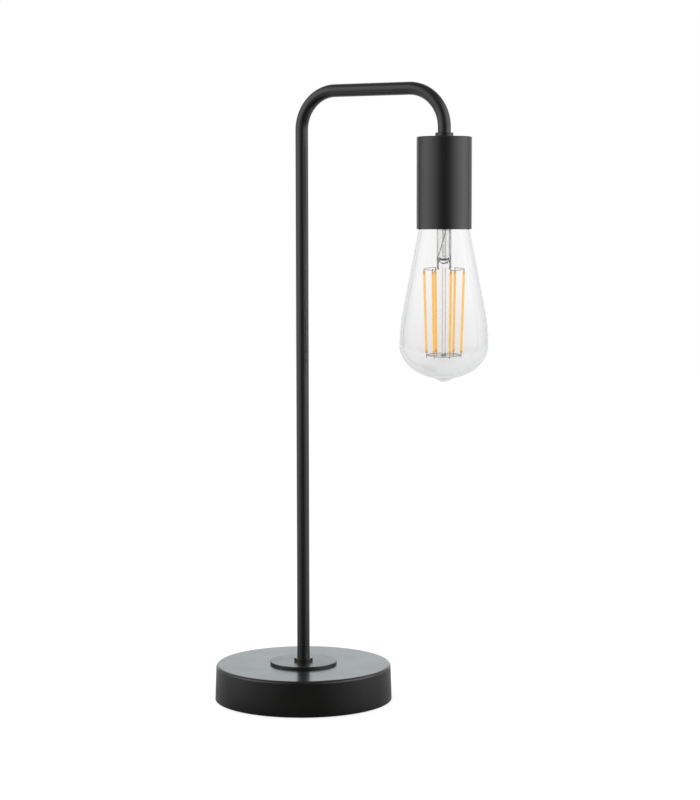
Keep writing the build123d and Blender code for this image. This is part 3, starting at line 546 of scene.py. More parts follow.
def end_in_copies(
    tree: Tree, given: bpy.types.bpy_prop_collection, piece: Any, count: Any, spot: Any, **how: Any
) -> Tree:
    """End a tree in copies of one piece.

    Args:
        tree: the tree.
        given: the outputs of its group input.
        piece: what is copied.
        count: how many copies there are.
        spot: where each one stands.
        how: the Rotation or the Scale of each.

    Returns:
        The tree.
    """
    points = add_node(tree, "GeometryNodePoints", {"Count": count, "Position": spot})
    values = {"Points": points, "Instance": piece, **how}
    return end_tree(tree, given, add_node(tree, "GeometryNodeInstanceOnPoints", values))


def half_wave(phase: Formula) -> Formula:
    """The formula of a wave between 0, where the phase is 0, and 1."""
    return "MULTIPLY_ADD", ("COSINE", phase), -0.5, 0.5


def turning_tree() -> Tree:
    """A tree that turns an outline round an upright axis, with a thread and flutes where it says.

    The outline is a row of points, with the radius in X and the height in Z. Its thread and flute
    attributes say how much of each a point takes.

    Returns:
        The tree.
    """
    floats = ("Axis X", "Pitch", "Thread Depth", "Flutes", "Flute Depth")
    kinds = {INTEGER: ("Stations", "Facets"), FLOAT: floats}
    tree, given = new_tree("turned_with_thread_and_flutes", kinds)
    columns = add_node(tree, MATH, {0: given["Facets"], 1: 1.0}, operation="ADD")
    index = add_node(tree, "GeometryNodeInputIndex")
    row = add_node(tree, MATH, {0: ("DIVIDE", index, columns)}, operation="FLOOR")
    turned = ("MULTIPLY", ("SUBTRACT", index, ("MULTIPLY", row, columns)), TURN)
    angle = add_node(tree, MATH, {0: turned, 1: given["Facets"]}, operation="DIVIDE")
    samples = []
    for name, kind in (("position", "FLOAT_VECTOR"), ("thread", "FLOAT"), ("flute", "FLOAT")):
        value = add_node(tree, "GeometryNodeInputNamedAttribute", {"Name": name}, data_type=kind)
        source = {"Geometry": given["Geometry"], "Value": value.outputs["Attribute"], "Index": row}
        sample = add_node(tree, "GeometryNodeSampleIndex", source, data_type=kind)
        samples.append(sample.outputs["Value"])
    position, thread_share, flute_share = samples
    outline = add_node(tree, "ShaderNodeSeparateXYZ", {"Vector": position}).outputs
    climb = ("DIVIDE", ("MULTIPLY", outline["Z"], TURN), given["Pitch"])
    depth = ("MULTIPLY", thread_share, given["Thread Depth"])
    thread = ("MULTIPLY", half_wave(("SUBTRACT", climb, angle)), depth)
    depth = ("MULTIPLY", flute_share, given["Flute Depth"])
    flute = ("MULTIPLY", half_wave(("MULTIPLY", angle, given["Flutes"])), depth)
    crest = ("SUBTRACT", outline["X"], thread)
    radius = add_node(tree, MATH, {0: crest, 1: flute}, operation="SUBTRACT")
    across = ("MULTIPLY_ADD", radius, ("COSINE", angle), given["Axis X"])
    along = ("MULTIPLY", radius, ("SINE", angle))
    spot = add_node(tree, "ShaderNodeCombineXYZ", {"X": across, "Y": along, "Z": outline["Z"]})
    size = {"Vertices X": given["Stations"], "Vertices Y": columns}
    grid = add_node(tree, "GeometryNodeMeshGrid", size)
    placed = add_node(tree, "GeometryNodeSetPosition", {"Geometry": grid, "Position": spot})
    seam = {"Geometry": placed, "Distance": SAME_POINT * MM}
    return end_tree(tree, given, add_node(tree, "GeometryNodeMergeByDistance", seam))


def sweeping_tree() -> Tree:
    """A tree that runs a round section along a path of points.

    The path's swell attribute scales the section, and the result's along attribute is the distance
    from the path's start. With a bore the section is a ring, and its ends stay open.

    Returns:
        The tree.
    """
    tree, given = new_tree("swept_along_a_path", {FLOAT: ("Radius", "Bore"), INTEGER: ("Sides",)})
    path = add_node(tree, "GeometryNodeMeshToCurve", {"Mesh": given["Geometry"]})
    length = add_node(tree, "GeometryNodeSplineParameter").outputs["Length"]
    marks = {"Geometry": path, "Name": "along", "Value": length}
    marked = add_node(tree, "GeometryNodeStoreNamedAttribute", marks)
    rings = []
    for name in ("Radius", "Bore"):
        size = {"Resolution": given["Sides"], "Radius": given[name]}
        rings.append(add_node(tree, "GeometryNodeCurvePrimitiveCircle", size))
    both = add_node(tree, "GeometryNodeJoinGeometry", {"Geometry": rings[0]})
    feed(tree, both, {"Geometry": rings[1]})
    hollow = ("GREATER_THAN", given["Bore"], 0.0)
    section = add_node(tree, "GeometryNodeSwitch", {"Switch": hollow, "False": rings[0], "True": both})
    swell = add_node(tree, "GeometryNodeInputNamedAttribute", {"Name": "swell"})
    run = {
        "Curve": marked,
        "Profile Curve": section.outputs["Output"],
        "Scale": swell.outputs["Attribute"],
        "Fill Caps": ("SUBTRACT", 1.0, hollow),
    }
    return end_tree(tree, given, add_node(tree, "GeometryNodeCurveToMesh", run))


def rolling_tree() -> Tree:
    """A tree that rolls a right-hand thread on the outside of an upright stretch of tube.

    Returns:
        The tree.
    """
    floats = ("Axis X", "Low", "High", "Skin", "Pitch", "Rise", "Thread Depth")
    tree, given = new_tree("thread_rolled_on_a_tube", {FLOAT: floats})
    position = add_node(tree, "GeometryNodeInputPosition")
    axes = add_node(tree, "ShaderNodeSeparateXYZ", {"Vector": position}).outputs
    out = ("SUBTRACT", axes["X"], given["Axis X"])
    radial = add_node(tree, "ShaderNodeCombineXYZ", {"X": out, "Y": axes["Y"]})
    radius = add_node(tree, "ShaderNodeVectorMath", {0: radial}, operation="LENGTH").outputs["Value"]
    outside = ("GREATER_THAN", radius, given["Skin"])
    share = ("MULTIPLY", outside, ("LESS_THAN", radius, ("MULTIPLY", given["Skin"], 2.0)))
    for high, low in ((axes["Z"], given["Low"]), (given["High"], axes["Z"])):
        span = {"Value": ("SUBTRACT", high, low), "From Max": given["Pitch"]}
        fade = add_node(tree, "ShaderNodeMapRange", span, interpolation_type="SMOOTHSTEP")
        share = ("MULTIPLY", fade, share)
    climb = ("DIVIDE", ("MULTIPLY", axes["Z"], TURN), given["Pitch"])
    wave = half_wave(("SUBTRACT", climb, ("ARCTAN2", axes["Y"], out)))
    rise = ("SUBTRACT", given["Rise"], ("MULTIPLY", wave, given["Thread Depth"]))
    outwards = add_node(tree, "ShaderNodeVectorMath", {0: radial}, operation="NORMALIZE")
    move = {0: outwards, "Scale": ("MULTIPLY", share, rise)}
    offset = add_node(tree, "ShaderNodeVectorMath", move, operation="SCALE")
    moved = {"Geometry": given["Geometry"], "Offset": offset}
    return end_tree(tree, given, add_node(tree, "GeometryNodeSetPosition", moved))


def circling_tree() -> Tree:
    """A tree that repeats a piece in a circle round an upright axis, with the first one astray.

    Returns:
        The tree.
    """
    floats = ("First Angle", "Sweep", "Stray")
    kinds = {INTEGER: ("Count",), VECTOR: ("Centre",), FLOAT: floats}
    tree, given = new_tree("repeated_in_a_circle", kinds)
    index = add_node(tree, "GeometryNodeInputIndex")
    step = ("DIVIDE", given["Sweep"], given["Count"])
    even = ("MULTIPLY_ADD", index, step, given["First Angle"])
    angle = ("MULTIPLY_ADD", ("LESS_THAN", index, 0.5), given["Stray"], even)
    turned = add_node(tree, "FunctionNodeAxisAngleToRotation", {"Axis": (0, 0, 1), "Angle": angle})
    piece, count, centre = given["Geometry"], given["Count"], given["Centre"]
    return end_in_copies(tree, given, piece, count, centre, Rotation=turned)


def screwing_tree() -> Tree:
    """A tree that cuts a driver slot in a screw and sets it out in a grid, each turned as it came.

    Returns:
        The tree.
    """
    kinds = {
        INTEGER: ("Columns", "Rows", "Seed"),
        FLOAT: ("Column Gap", "Row Gap", "Slot Height"),
        VECTOR: ("Centre", "Slot"),
    }
    tree, given = new_tree("slotted_screws_in_a_grid", kinds)
    bar = add_node(tree, "GeometryNodeMeshCube", {"Size": given["Slot"]})
    height = add_node(tree, "ShaderNodeCombineXYZ", {"Z": given["Slot Height"]})
    lifted = add_node(tree, "GeometryNodeTransform", {"Geometry": bar, "Translation": height})
    both = {"Mesh 1": given["Geometry"], "Mesh 2": lifted}
    cut = add_node(tree, "GeometryNodeMeshBoolean", both, operation="DIFFERENCE", solver="EXACT")
    index = add_node(tree, "GeometryNodeInputIndex")
    row = add_node(tree, MATH, {0: ("DIVIDE", index, given["Columns"])}, operation="FLOOR")
    column = ("SUBTRACT", index, ("MULTIPLY", row, given["Columns"]))
    spot = {}
    for axis, place, lot, gap in (("X", column, "Columns", "Column Gap"), ("Y", row, "Rows", "Row Gap")):
        middle = ("MULTIPLY_ADD", ("SUBTRACT", given[lot], 1.0), -0.5, place)
        spot[axis] = ("MULTIPLY", middle, given[gap])
    local = add_node(tree, "ShaderNodeCombineXYZ", spot)
    place = add_node(tree, "ShaderNodeVectorMath", {0: local, 1: given["Centre"]}, operation="ADD")
    draw = {2: 0.0, 3: TURN, "ID": index, "Seed": given["Seed"]}
    spin = add_node(tree, "FunctionNodeRandomValue", draw).outputs[1]
    turned = add_node(tree, "FunctionNodeAxisAngleToRotation", {"Axis": (0, 0, 1), "Angle": spin})
    count = ("MULTIPLY", given["Columns"], given["Rows"])
    return end_in_copies(tree, given, cut, count, place, Rotation=turned)


def scattering_tree() -> Tree:
    """A tree that strews bubbles of many sizes along the two bows of an eye-shaped seam.

    Returns:
        The tree.
    """
    floats = ("Half Width", "Half Height", "Depth", "Least", "Most")
    tree, given = new_tree("bubbles_along_a_seam", {INTEGER: ("Count", "Seed"), FLOAT: floats})
    index = add_node(tree, "GeometryNodeInputIndex")
    chances = []
    for turn in range(4):
        draw = {2: -1.0, 3: 1.0, "ID": index, "Seed": ("ADD", given["Seed"], float(turn))}
        chances.append(add_node(tree, "FunctionNodeRandomValue", draw).outputs[1])
    across, side, through, size = chances
    bow = ("SUBTRACT", 1.0, ("MULTIPLY", across, across))
    rise = ("MULTIPLY_ADD", side, 0.6, ("MULTIPLY", ("SIGN", side), bow))
    spots = (("X", across, "Half Width"), ("Y", through, "Depth"), ("Z", rise, "Half Height"))
    values = {axis: ("MULTIPLY", share, given[name]) for axis, share, name in spots}
    spot = add_node(tree, "ShaderNodeCombineXYZ", values)
    span = {"Value": size, "From Min": -1.0, "To Min": given["Least"], "To Max": given["Most"]}
    spread = add_node(tree, "ShaderNodeMapRange", span)
    return end_in_copies(tree, given, given["Geometry"], given["Count"], spot, Scale=spread)


# Mesh making


@dataclass(frozen=True)
class Station:
    """One point of a turned outline: radius, height, and its share of the thread and the flutes."""

    radius: float
    height: float
    thread: float = 0.0
    flute: float = 0.0


def eased(corners: Sequence[tuple[float, float]], bite: float, steps: int = 3) -> list[Station]:
    """Round the corners of a closed outline.

    Args:
        corners: radius and height of each corner, in order.
        bite: how far along each edge the rounding starts.
        steps: the chords in each rounding.

    Returns:
        The outline's stations, with the first one repeated at its end.
    """
    stations = []
    points = [Vector(corner) for corner in corners]
    for place, corner in enumerate(points):
        if corner.x == 0:
            stations.append(Station(*corner))
            continue
        before = points[place - 1] - corner
        after = points[(place + 1) % len(points)] - corner
        start = corner + before.normalized() * min(bite, 0.45 * before.length)
        end = corner + after.normalized() * min(bite, 0.45 * after.length)
        for step in range(steps + 1):
            share = step / steps
            spot = start.lerp(corner, share).lerp(corner.lerp(end, share), share)
            stations.append(Station(*spot))
    return [*stations, stations[0]]


def threaded_run(
    start: Station, end: Station, pitch: float, fade: float, rows_per_turn: int = 10
) -> list[Station]:
    """Divide a straight run of an outline so that it can carry a thread.

    Args:
        start: its first station.
        end: its last station.
        pitch: the thread's pitch.
        fade: the height over which the thread runs out at each end.
        rows_per_turn: stations for each turn of the thread.

    Returns:
        The stations from start to end, with their share of the thread.
    """
    span = end.height - start.height
    count = max(2, round(abs(span) / pitch * rows_per_turn))
    stations = []
    for step in range(count + 1):
        share = step / count
        near_end = min(share, 1 - share) * abs(span) / fade
        stations.append(
            Station(
                start.radius + (end.radius - start.radius) * share,
                start.height + span * share,
                thread=min(1.0, near_end),
            )
        )
    return stations


def arc_from(
    start: tuple[float, float], tangent: tuple[float, float], end: tuple[float, float], steps: int = 12
) -> list[tuple[float, float]]:
    """An arc that leaves start along tangent and reaches end.

    Args:
        start: its first point.
        tangent: its direction there, of length 1.
        end: its last point.
        steps: the chords in it.

    Returns:
        Its points, from start to end.
    """
    across, up = end[0] - start[0], end[1] - start[1]
    side = across * -tangent[1] + up * tangent[0]
    radius = (across**2 + up**2) / (2 * side)
    sweep = 2 * math.atan2(side, across * tangent[0] + up * tangent[1])
    points = []
    for step in range(steps + 1):
        turn = sweep * step / steps
        along, off = radius * math.sin(turn), radius * (1 - math.cos(turn))
        points.append(
            (
                start[0] + tangent[0] * along - tangent[1] * off,
                start[1] + tangent[1] * along + tangent[0] * off,
            )
        )
    return points


def filleted(corners: Sequence[Vector], radii: Sequence[float], steps: int = 8) -> list[Vector]:
    """Round the inner corners of a path with arcs.

    Args:
        corners: the path's points.
        radii: the radius at each inner corner.
        steps: the chords in each arc.

    Returns:
        The points of the rounded path.
    """
    path = [corners[0]]
    for before, corner, after, radius in zip(corners, corners[1:], corners[2:], radii):
        back = (before - corner).normalized()
        onward = (after - corner).normalized()
        half = back.angle(onward) / 2
        centre = corner + (back + onward).normalized() * radius / math.sin(half)
        first = (corner + back * radius / math.tan(half) - centre).normalized()
        last = (corner + onward * radius / math.tan(half) - centre).normalized()
        path += [centre + first.slerp(last, step / steps) * radius for step in range(steps + 1)]
    return [*path, corners[-1]]


def row_mesh(points: Sequence[Vector], closed: bool = False, **shares: Sequence[float]) -> Mesh:
    """A mesh of points and the edges between them, with a number on each point.

    Args:
        points: the points, in millimetres.
        closed: whether the last point joins the first.
        shares: for each attribute's name, its value at each point.

    Returns:
        The mesh, in metres.
    """
    mesh = bpy.data.meshes.new("row")
    last = len(points) if closed else len(points) - 1
    edges = [(place, (place + 1) % len(points)) for place in range(last)]
    mesh.from_pydata([tuple(point * MM) for point in points], edges, [])
    for name, values in shares.items():
        mesh.attributes.new(name, "FLOAT", "POINT").data.foreach_set("value", values)
    return mesh


def grown(seed: Mesh, steps: Steps) -> Mesh:
    """Run Geometry Nodes trees on a seed mesh and give the result as a plain mesh.

    Args:
        seed: the mesh that they start from.
        steps: each tree with its inputs by name.

    Returns:
        The result.
    """
    holder = bpy.data.objects.new("seed", seed)
    bpy.context.scene.collection.objects.link(holder)
    for tree, inputs in steps:
        modifier = holder.modifiers.new(tree.name, "NODES")
        modifier.node_group = tree
        for item in tree.interface.items_tree:
            if item.in_out == "INPUT" and item.name in inputs:
                modifier[item.identifier] = inputs[item.name]
    graph = bpy.context.evaluated_depsgraph_get()
    mesh = bpy.data.meshes.new_from_object(holder.evaluated_get(graph), depsgraph=graph)
    bpy.data.objects.remove(holder)
    bpy.data.meshes.remove(seed)
    return mesh


def cleaned(mesh: Mesh, sharp: float = 32.0) -> Mesh:
    """Close a mesh's open ends, turn its faces outwards and smooth it up to an angle.

    The mesh keeps one material slot, with its finish.

    Args:
        mesh: the mesh, which is changed.
        sharp: the angle in degrees past which an edge stays sharp.

    Returns:
        The same mesh.
    """
    work = bmesh.new()
    work.from_mesh(mesh)
    bmesh.ops.remove_doubles(work, verts=work.verts, dist=SAME_POINT * MM)
    bmesh.ops.dissolve_degenerate(work, edges=work.edges, dist=SAME_POINT / 2 * MM)
    rims = [edge for edge in work.edges if edge.is_boundary]
    levels = {round(edge.verts[0].co.z / MM) for edge in rims}
    for level in levels:
        ends = [edge for edge in rims if round(edge.verts[0].co.z / MM) == level]
        bmesh.ops.bridge_loops(work, edges=ends)
    bmesh.ops.recalc_face_normals(work, faces=work.faces)
    for face in work.faces:
        face.material_index = 0
    work.to_mesh(mesh)
    work.free()
    finish = next(material for material in mesh.materials if material)
    mesh.materials.clear()
    mesh.materials.append(finish)
    mesh.shade_smooth()
    mesh.set_sharp_from_angle(angle=math.radians(sharp))
    return mesh


def joined(meshes: Sequence[Mesh]) -> Mesh:
    """Put several meshes of one finish together.

    Args:
        meshes: the meshes, of which only the first stays.

    Returns:
        The first mesh, with all of them in it.
    """
    work = bmesh.new()
    for mesh in meshes:
        work.from_mesh(mesh)
    whole = meshes[0]
    work.to_mesh(whole)
    work.free()
    for mesh in meshes[1:]:
        bpy.data.meshes.remove(mesh)
    return whole


def ring_mesh(rows: Sequence[Sequence[float]], axis_x: float, finish: Finish) -> Mesh:
    """A closed ring through rows of points round an upright axis.

    Args:
        rows: for each row its height, then the radius at each facet.
        axis_x: where the axis stands.
        finish: its finish.

    Returns:
        The mesh.
    """
    facets = len(rows[0]) - 1
    turns = [place * TURN / facets for place in range(facets)]
    work = bmesh.new()
    rings = []
    for height, *radii in rows:
        ring = []
        for angle, radius in zip(turns, radii):
            spot = (axis_x + radius * math.cos(angle), radius * math.sin(angle), height)
            ring.append(work.verts.new([length * MM for length in spot]))
        rings.append(ring)
    for ring, above in zip(rings, [*rings[1:], rings[0]]):
        for place in range(facets):
            beside = (place + 1) % facets
            work.faces.new((ring[place], ring[beside], above[beside], above[place]))
    mesh = bpy.data.meshes.new("ring")
    work.to_mesh(mesh)
    work.free()
    mesh.materials.append(finish.build())
    return cleaned(mesh, 20.0)


@dataclass
class Workshop:
    """The trees that every sub-assembly uses, and the work on a finished mesh."""

    turning: Tree = field(default_factory=turning_tree)
    sweeping: Tree = field(default_factory=sweeping_tree)
    rolling: Tree = field(default_factory=rolling_tree)
    circling: Tree = field(default_factory=circling_tree)
    screwing: Tree = field(default_factory=screwing_tree)
    scattering: Tree = field(default_factory=scattering_tree)

    def turned(
        self,
        stations: Sequence[Station],
        finish: Finish,
        axis_x: float = 0.0,
        facets: int = 96,
        pitch: float = 1.0,
        depth: float = 0.0,
        flutes: int = 0,
        flute_depth: float = 0.0,
        after: Steps = (),
    ) -> Mesh:
        """Turn an outline.

        Args:
            stations: the outline's points, closed or with both ends on the axis.
            finish: its finish.
            axis_x: where its upright axis stands.
            facets: the chords round it.
            pitch: the thread's pitch.
            depth: the thread's depth.
            flutes: the number of flutes.
            flute_depth: their depth.
            after: trees that work on the result.

        Returns:
            The mesh.
        """
        seed = row_mesh(
            [Vector((station.radius, 0, station.height)) for station in stations],
            thread=[station.thread for station in stations],
            flute=[station.flute for station in stations],
        )
        inputs = {
            "Stations": len(stations),
            "Facets": facets,
            "Axis X": axis_x * MM,
            "Pitch": pitch * MM,
            "Thread Depth": depth * MM,
            "Flutes": float(flutes),
            "Flute Depth": flute_depth * MM,
            "Finish": finish.build(),
        }
        return cleaned(grown(seed, [(self.turning, inputs), *after]))

    def swept(
        self,
        path: Sequence[Vector],
        radius: float,
        finish: Finish,
        sides: int = 16,
        bore: float = 0.0,
        closed: bool = False,
        swell: Sequence[float] | None = None,
        after: Steps = (),
    ) -> Mesh:
        """Run a round section along a path.

        Args:
            path: its points.
            radius: the section's radius.
            finish: its finish.
            sides: the chords round the section.
            bore: the radius of its bore, or 0.
            closed: whether the path closes on itself.
            swell: the section's scale at each point, 1 where it isn't given.
            after: trees that work on the result.

        Returns:
            The mesh.
        """
        seed = row_mesh(path, closed, swell=swell or [1.0] * len(path))
        inputs = {"Radius": radius * MM, "Bore": bore * MM, "Sides": sides, "Finish": finish.build()}
        return cleaned(grown(seed, [(self.sweeping, inputs), *after]))

    def screws(
        self,
        outline: Sequence[Station],
        slot_height: float,
        slot: Point,
        seed: int,
        pitch: float = 0.5,
        facets: int = 48,
        grid: tuple[int, int] = (1, 1),
        gaps: tuple[float, float] = (0.0, 0.0),
        centre_x: float = 0.0,
    ) -> Mesh:
        """Turn a screw, cut its slot and repeat it.

        Args:
            outline: its stations.
            slot_height: the height of the end that the slot is cut in.
            slot: the size of the bar that cuts it.
            seed: for the turn of each screw.
            pitch: its thread's pitch, which is twice the depth.
            facets: the chords round it.
            grid: how many columns and rows of them there are.
            gaps: the distance between columns and between rows.
            centre_x: where the grid's middle stands.

        Returns:
            The mesh.
        """
        inputs = {
            "Columns": grid[0],
            "Rows": grid[1],
            "Column Gap": gaps[0] * MM,
            "Row Gap": gaps[1] * MM,
            "Centre": (centre_x * MM, 0.0, 0.0),
            "Slot Height": slot_height * MM,
            "Slot": tuple(length * MM for length in slot),
            "Seed": seed,
            "Finish": ZINC_STEEL.build(),
        }
        after = [(self.screwing, inputs)]
        return self.turned(outline, ZINC_STEEL, 0.0, facets, pitch, pitch / 2, after=after)


def set_screw(radius: float, bottom: float, top: float, pitch: float = 0.5) -> list[Station]:
    """The outline of a headless screw.

    Args:
        radius: the thread's outer radius.
        bottom: the height of its lower end.
        top: the height of its upper end.
        pitch: the thread's pitch.

    Returns:
        Its stations, from the lower end to the upper end.
    """
    lead_in = 0.3
    low, high = Station(radius, bottom + lead_in), Station(radius, top - lead_in)
    return [
        Station(0, bottom),
        Station(radius - lead_in, bottom),
        *threaded_run(low, high, pitch, lead_in),
        Station(radius - lead_in, top),
        Station(0, top),
    ]


def place_piece(name: str, mesh: Mesh, body: str, finish: Finish, *nodes: str) -> bpy.types.Object:
    """Make a finished mesh a piece of the lamp.

    Args:
        name: the piece's name.
        mesh: its mesh.
        body: the body that it rides on.
        finish: not used.
        nodes: the nodes that it stands for.

    Returns:
        The piece.
    """
    mesh.name = name
    piece = bpy.data.objects.new(name, mesh)
    bpy.context.scene.collection.objects.link(piece)
    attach(piece, body)
    if nodes:
        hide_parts(*nodes)
    over = []
    boxes = [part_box(node) for node in nodes]
    for axis in range(3) if boxes else ():
        places = [vertex.co[axis] for vertex in mesh.vertices]
        under = min(low[axis] for low, _ in boxes) - min(places)
        past = max(places) - max(high[axis] for _, high in boxes)
        over.append(f"{max(under, past) / MM:.2f}")
    report = (name, body, len(mesh.polygons), ", ".join(nodes) or "nothing", " ".join(over) or "-")
    log.info("%s on %s: %d faces, stands for %s, past it by %s mm", *report)
    return piece


def dress_node(frame: dict[str, Any], node: str, finish: Finish) -> None:
    """Give a node that keeps its shape its finish.

    Args:
        node: the node's name.
        finish: its finish.
    """
    piece = frame["nodes"][node]
    material = finish.build()
    if not piece.material_slots:
        piece.data.materials.append(material)
    for slot in piece.material_slots:
        slot.material = material
    log.info("%s keeps its shape, in %s", node, finish.name)


# Sub-assemblies


@dataclass
class Fastening:
    """A washer and a chamfered hexagon nut with a fine thread, on one end of the tube."""

    shop: Workshop
    name: str
    node: str
    axis_x: float
    washer_radius: float
    washer_bottom: float
    nut_bottom: float
    washer_hole: float = 5.15
    washer_thickness: float = 1.5
    nut_height: float = 3.5
    apothem: float = 7.0
    bore: float = 5.0
    pitch: float = 1.0
    depth: float = 0.5
    lead_in: float = 0.5
    facets: int = 96
    rows_per_turn: int = 12

    def build(self) -> None:
        """Make the washer and the nut."""
        low, high = self.washer_bottom, self.washer_bottom + self.washer_thickness
        hole, radius = self.washer_hole, self.washer_radius
        ring = eased([(hole, low), (radius, low), (radius, high), (hole, high)], 0.3)
        washer = self.shop.turned(ring, ZINC_STEEL, self.axis_x)
        place_piece(f"{self.name}_washer", washer, "lamp", ZINC_STEEL, f"{self.node}_washer")
        nut = ring_mesh([*self.outside(), *self.inside()], self.axis_x, ZINC_STEEL)
        place_piece(f"{self.name}_nut", nut, "lamp", ZINC_STEEL, f"{self.node}_nut")

    def outside(self) -> list[list[float]]:
        """The hexagon, whose corners a cone turned off each face takes away.

        Returns:
            Its rows for ring_mesh, from below.
        """
        flats = [
            self.apothem / math.cos(place * TURN / self.facets % (TURN / 6) - TURN / 12)
            for place in range(self.facets)
        ]
        edge = (0.0, 0.25, 0.5, 0.8)
        rows = []
        for level in (*edge, self.nut_height / 2, *(self.nut_height - step for step in reversed(edge))):
            rise = min(level, self.nut_height - level)
            cone = self.apothem * 0.97 + rise * math.tan(math.radians(60))
            rows.append([self.nut_bottom + level, *[min(cone, reach) for reach in flats]])
        return rows

    def inside(self) -> list[list[float]]:
        """The thread, between its two lead-ins.

        Returns:
            Its rows for ring_mesh, from above.
        """
        root = [self.bore + self.depth] * self.facets
        span = self.nut_height - 2 * self.lead_in
        count = round(span / self.pitch * self.rows_per_turn)
        rows = []
        for step in range(count + 1):
            height = self.nut_bottom + self.nut_height - self.lead_in - step / count * span
            row = [height]
            for place in range(self.facets):
                turn = TURN * height / self.pitch - place * TURN / self.facets
                row.append(self.bore + self.depth * (0.5 + 0.5 * math.cos(turn)))
            rows.append(row)
        return [[self.nut_bottom + self.nut_height, *root], *rows, [self.nut_bottom, *root]]


@dataclass
class Base:
    """The weighted base: cover, cast weight, foam pad, inlet bush and the nut that holds the post."""

    frame: dict[str, Any]
    shop: Workshop
    pad_radius: float = 62.0
    pad_thickness: float = 2.0
    pad_bulge: float = 0.35
    washer_radius: float = 12.0
    washer_bottom: float = 16.5
    nut_bottom: float = 13.0

    def build(self) -> None:
        """Make and dress everything in the base."""
        dress_node(self.frame, "base_cover", POWDER_COAT)
        dress_node(self.frame, "base_weight", CAST_IRON)
        dress_node(self.frame, "cord_inlet_bush", BLACK_PLASTIC)
        self.make_pad()
        sizes = self.washer_radius, self.washer_bottom, self.nut_bottom
        Fastening(self.shop, "post", "base", 0.0, *sizes).build()

    def make_pad(self) -> None:
        """Make the foam disc: flat where it stands and where it is stuck on, bulging at its cut edge."""
        bulge = self.pad_radius - self.pad_bulge
        edge = [
            (bulge + self.pad_bulge * math.sin(math.pi * step / 6), self.pad_thickness * (step / 6))
            for step in range(7)
        ]
        inner = [(self.pad_radius * share, 0.0) for share in (0.25, 0.5, 0.75)]
        top = [(radius, self.pad_thickness) for radius, _ in reversed(inner)]
        outline = [(0.0, 0.0), *inner, *edge, *top, (0.0, self.pad_thickness)]
        mesh = self.shop.turned([Station(*spot) for spot in outline], FOAM, facets=128)
        pad = place_piece("foam_pad", mesh, "lamp", FOAM, "base_pad")


@dataclass
class TerminalBlock:
    """The mains terminals in the weight's channel, entered from below."""

    frame: dict[str, Any]
    shop: Workshop
    centre_x: float = -36.0
    pole_spacing: float = 9.2
    screw_spacing: float = 10.0
    screw_radius: float = 1.2
    screw_bottom: float = 4.2
    screw_top: float = 7.45
    slot_width: float = 0.5
    head_radius: float = 2.55
    head_bottom: float = 6.6
    head_top: float = 8.0
    head_slot_width: float = 0.8
    fixing_radius: float = 1.4
    fixing_top: float = 21.0
    fixing_pitch: float = 0.7
    lead_in: float = 0.5
    slot_depth: float = 0.7

    def build(self) -> None:
        """Make and dress the block, its tubes, its four clamp screws and the one that holds it."""
        dress_node(self.frame, "terminal_block", POLYAMIDE)
        dress_node(self.frame, "block_tubes", BRASS)
        clamps = self.shop.screws(
            set_screw(self.screw_radius, self.screw_bottom, self.screw_top),
            self.screw_bottom,
            (4 * self.screw_radius, self.slot_width, 2 * self.slot_depth),
            seed=5,
            facets=32,
            grid=(2, 2),
            gaps=(self.screw_spacing, self.pole_spacing),
            centre_x=self.centre_x,
        )
        place_piece("clamp_screws", clamps, "lamp", ZINC_STEEL, "block_screws")
        head, radius = self.head_radius, self.fixing_radius
        start = Station(radius, self.head_top + self.lead_in)
        end = Station(radius, self.fixing_top - self.lead_in)
        outline = [
            Station(0, self.head_bottom),
            Station(head - 0.3, self.head_bottom),
            Station(head, self.head_bottom + 0.3),
            Station(head, self.head_top),
            Station(radius, self.head_top),
            *threaded_run(start, end, self.fixing_pitch, self.lead_in),
            Station(radius - self.lead_in, self.fixing_top),
            Station(0, self.fixing_top),
        ]
        slot = (4 * head, self.head_slot_width, 2 * self.slot_depth)
        screw = self.shop.screws(
            outline, self.head_bottom, slot, 2, self.fixing_pitch, centre_x=self.centre_x
        )
        place_piece("block_anchor_screw", screw, "lamp", ZINC_STEEL, "block_fixing_screw")


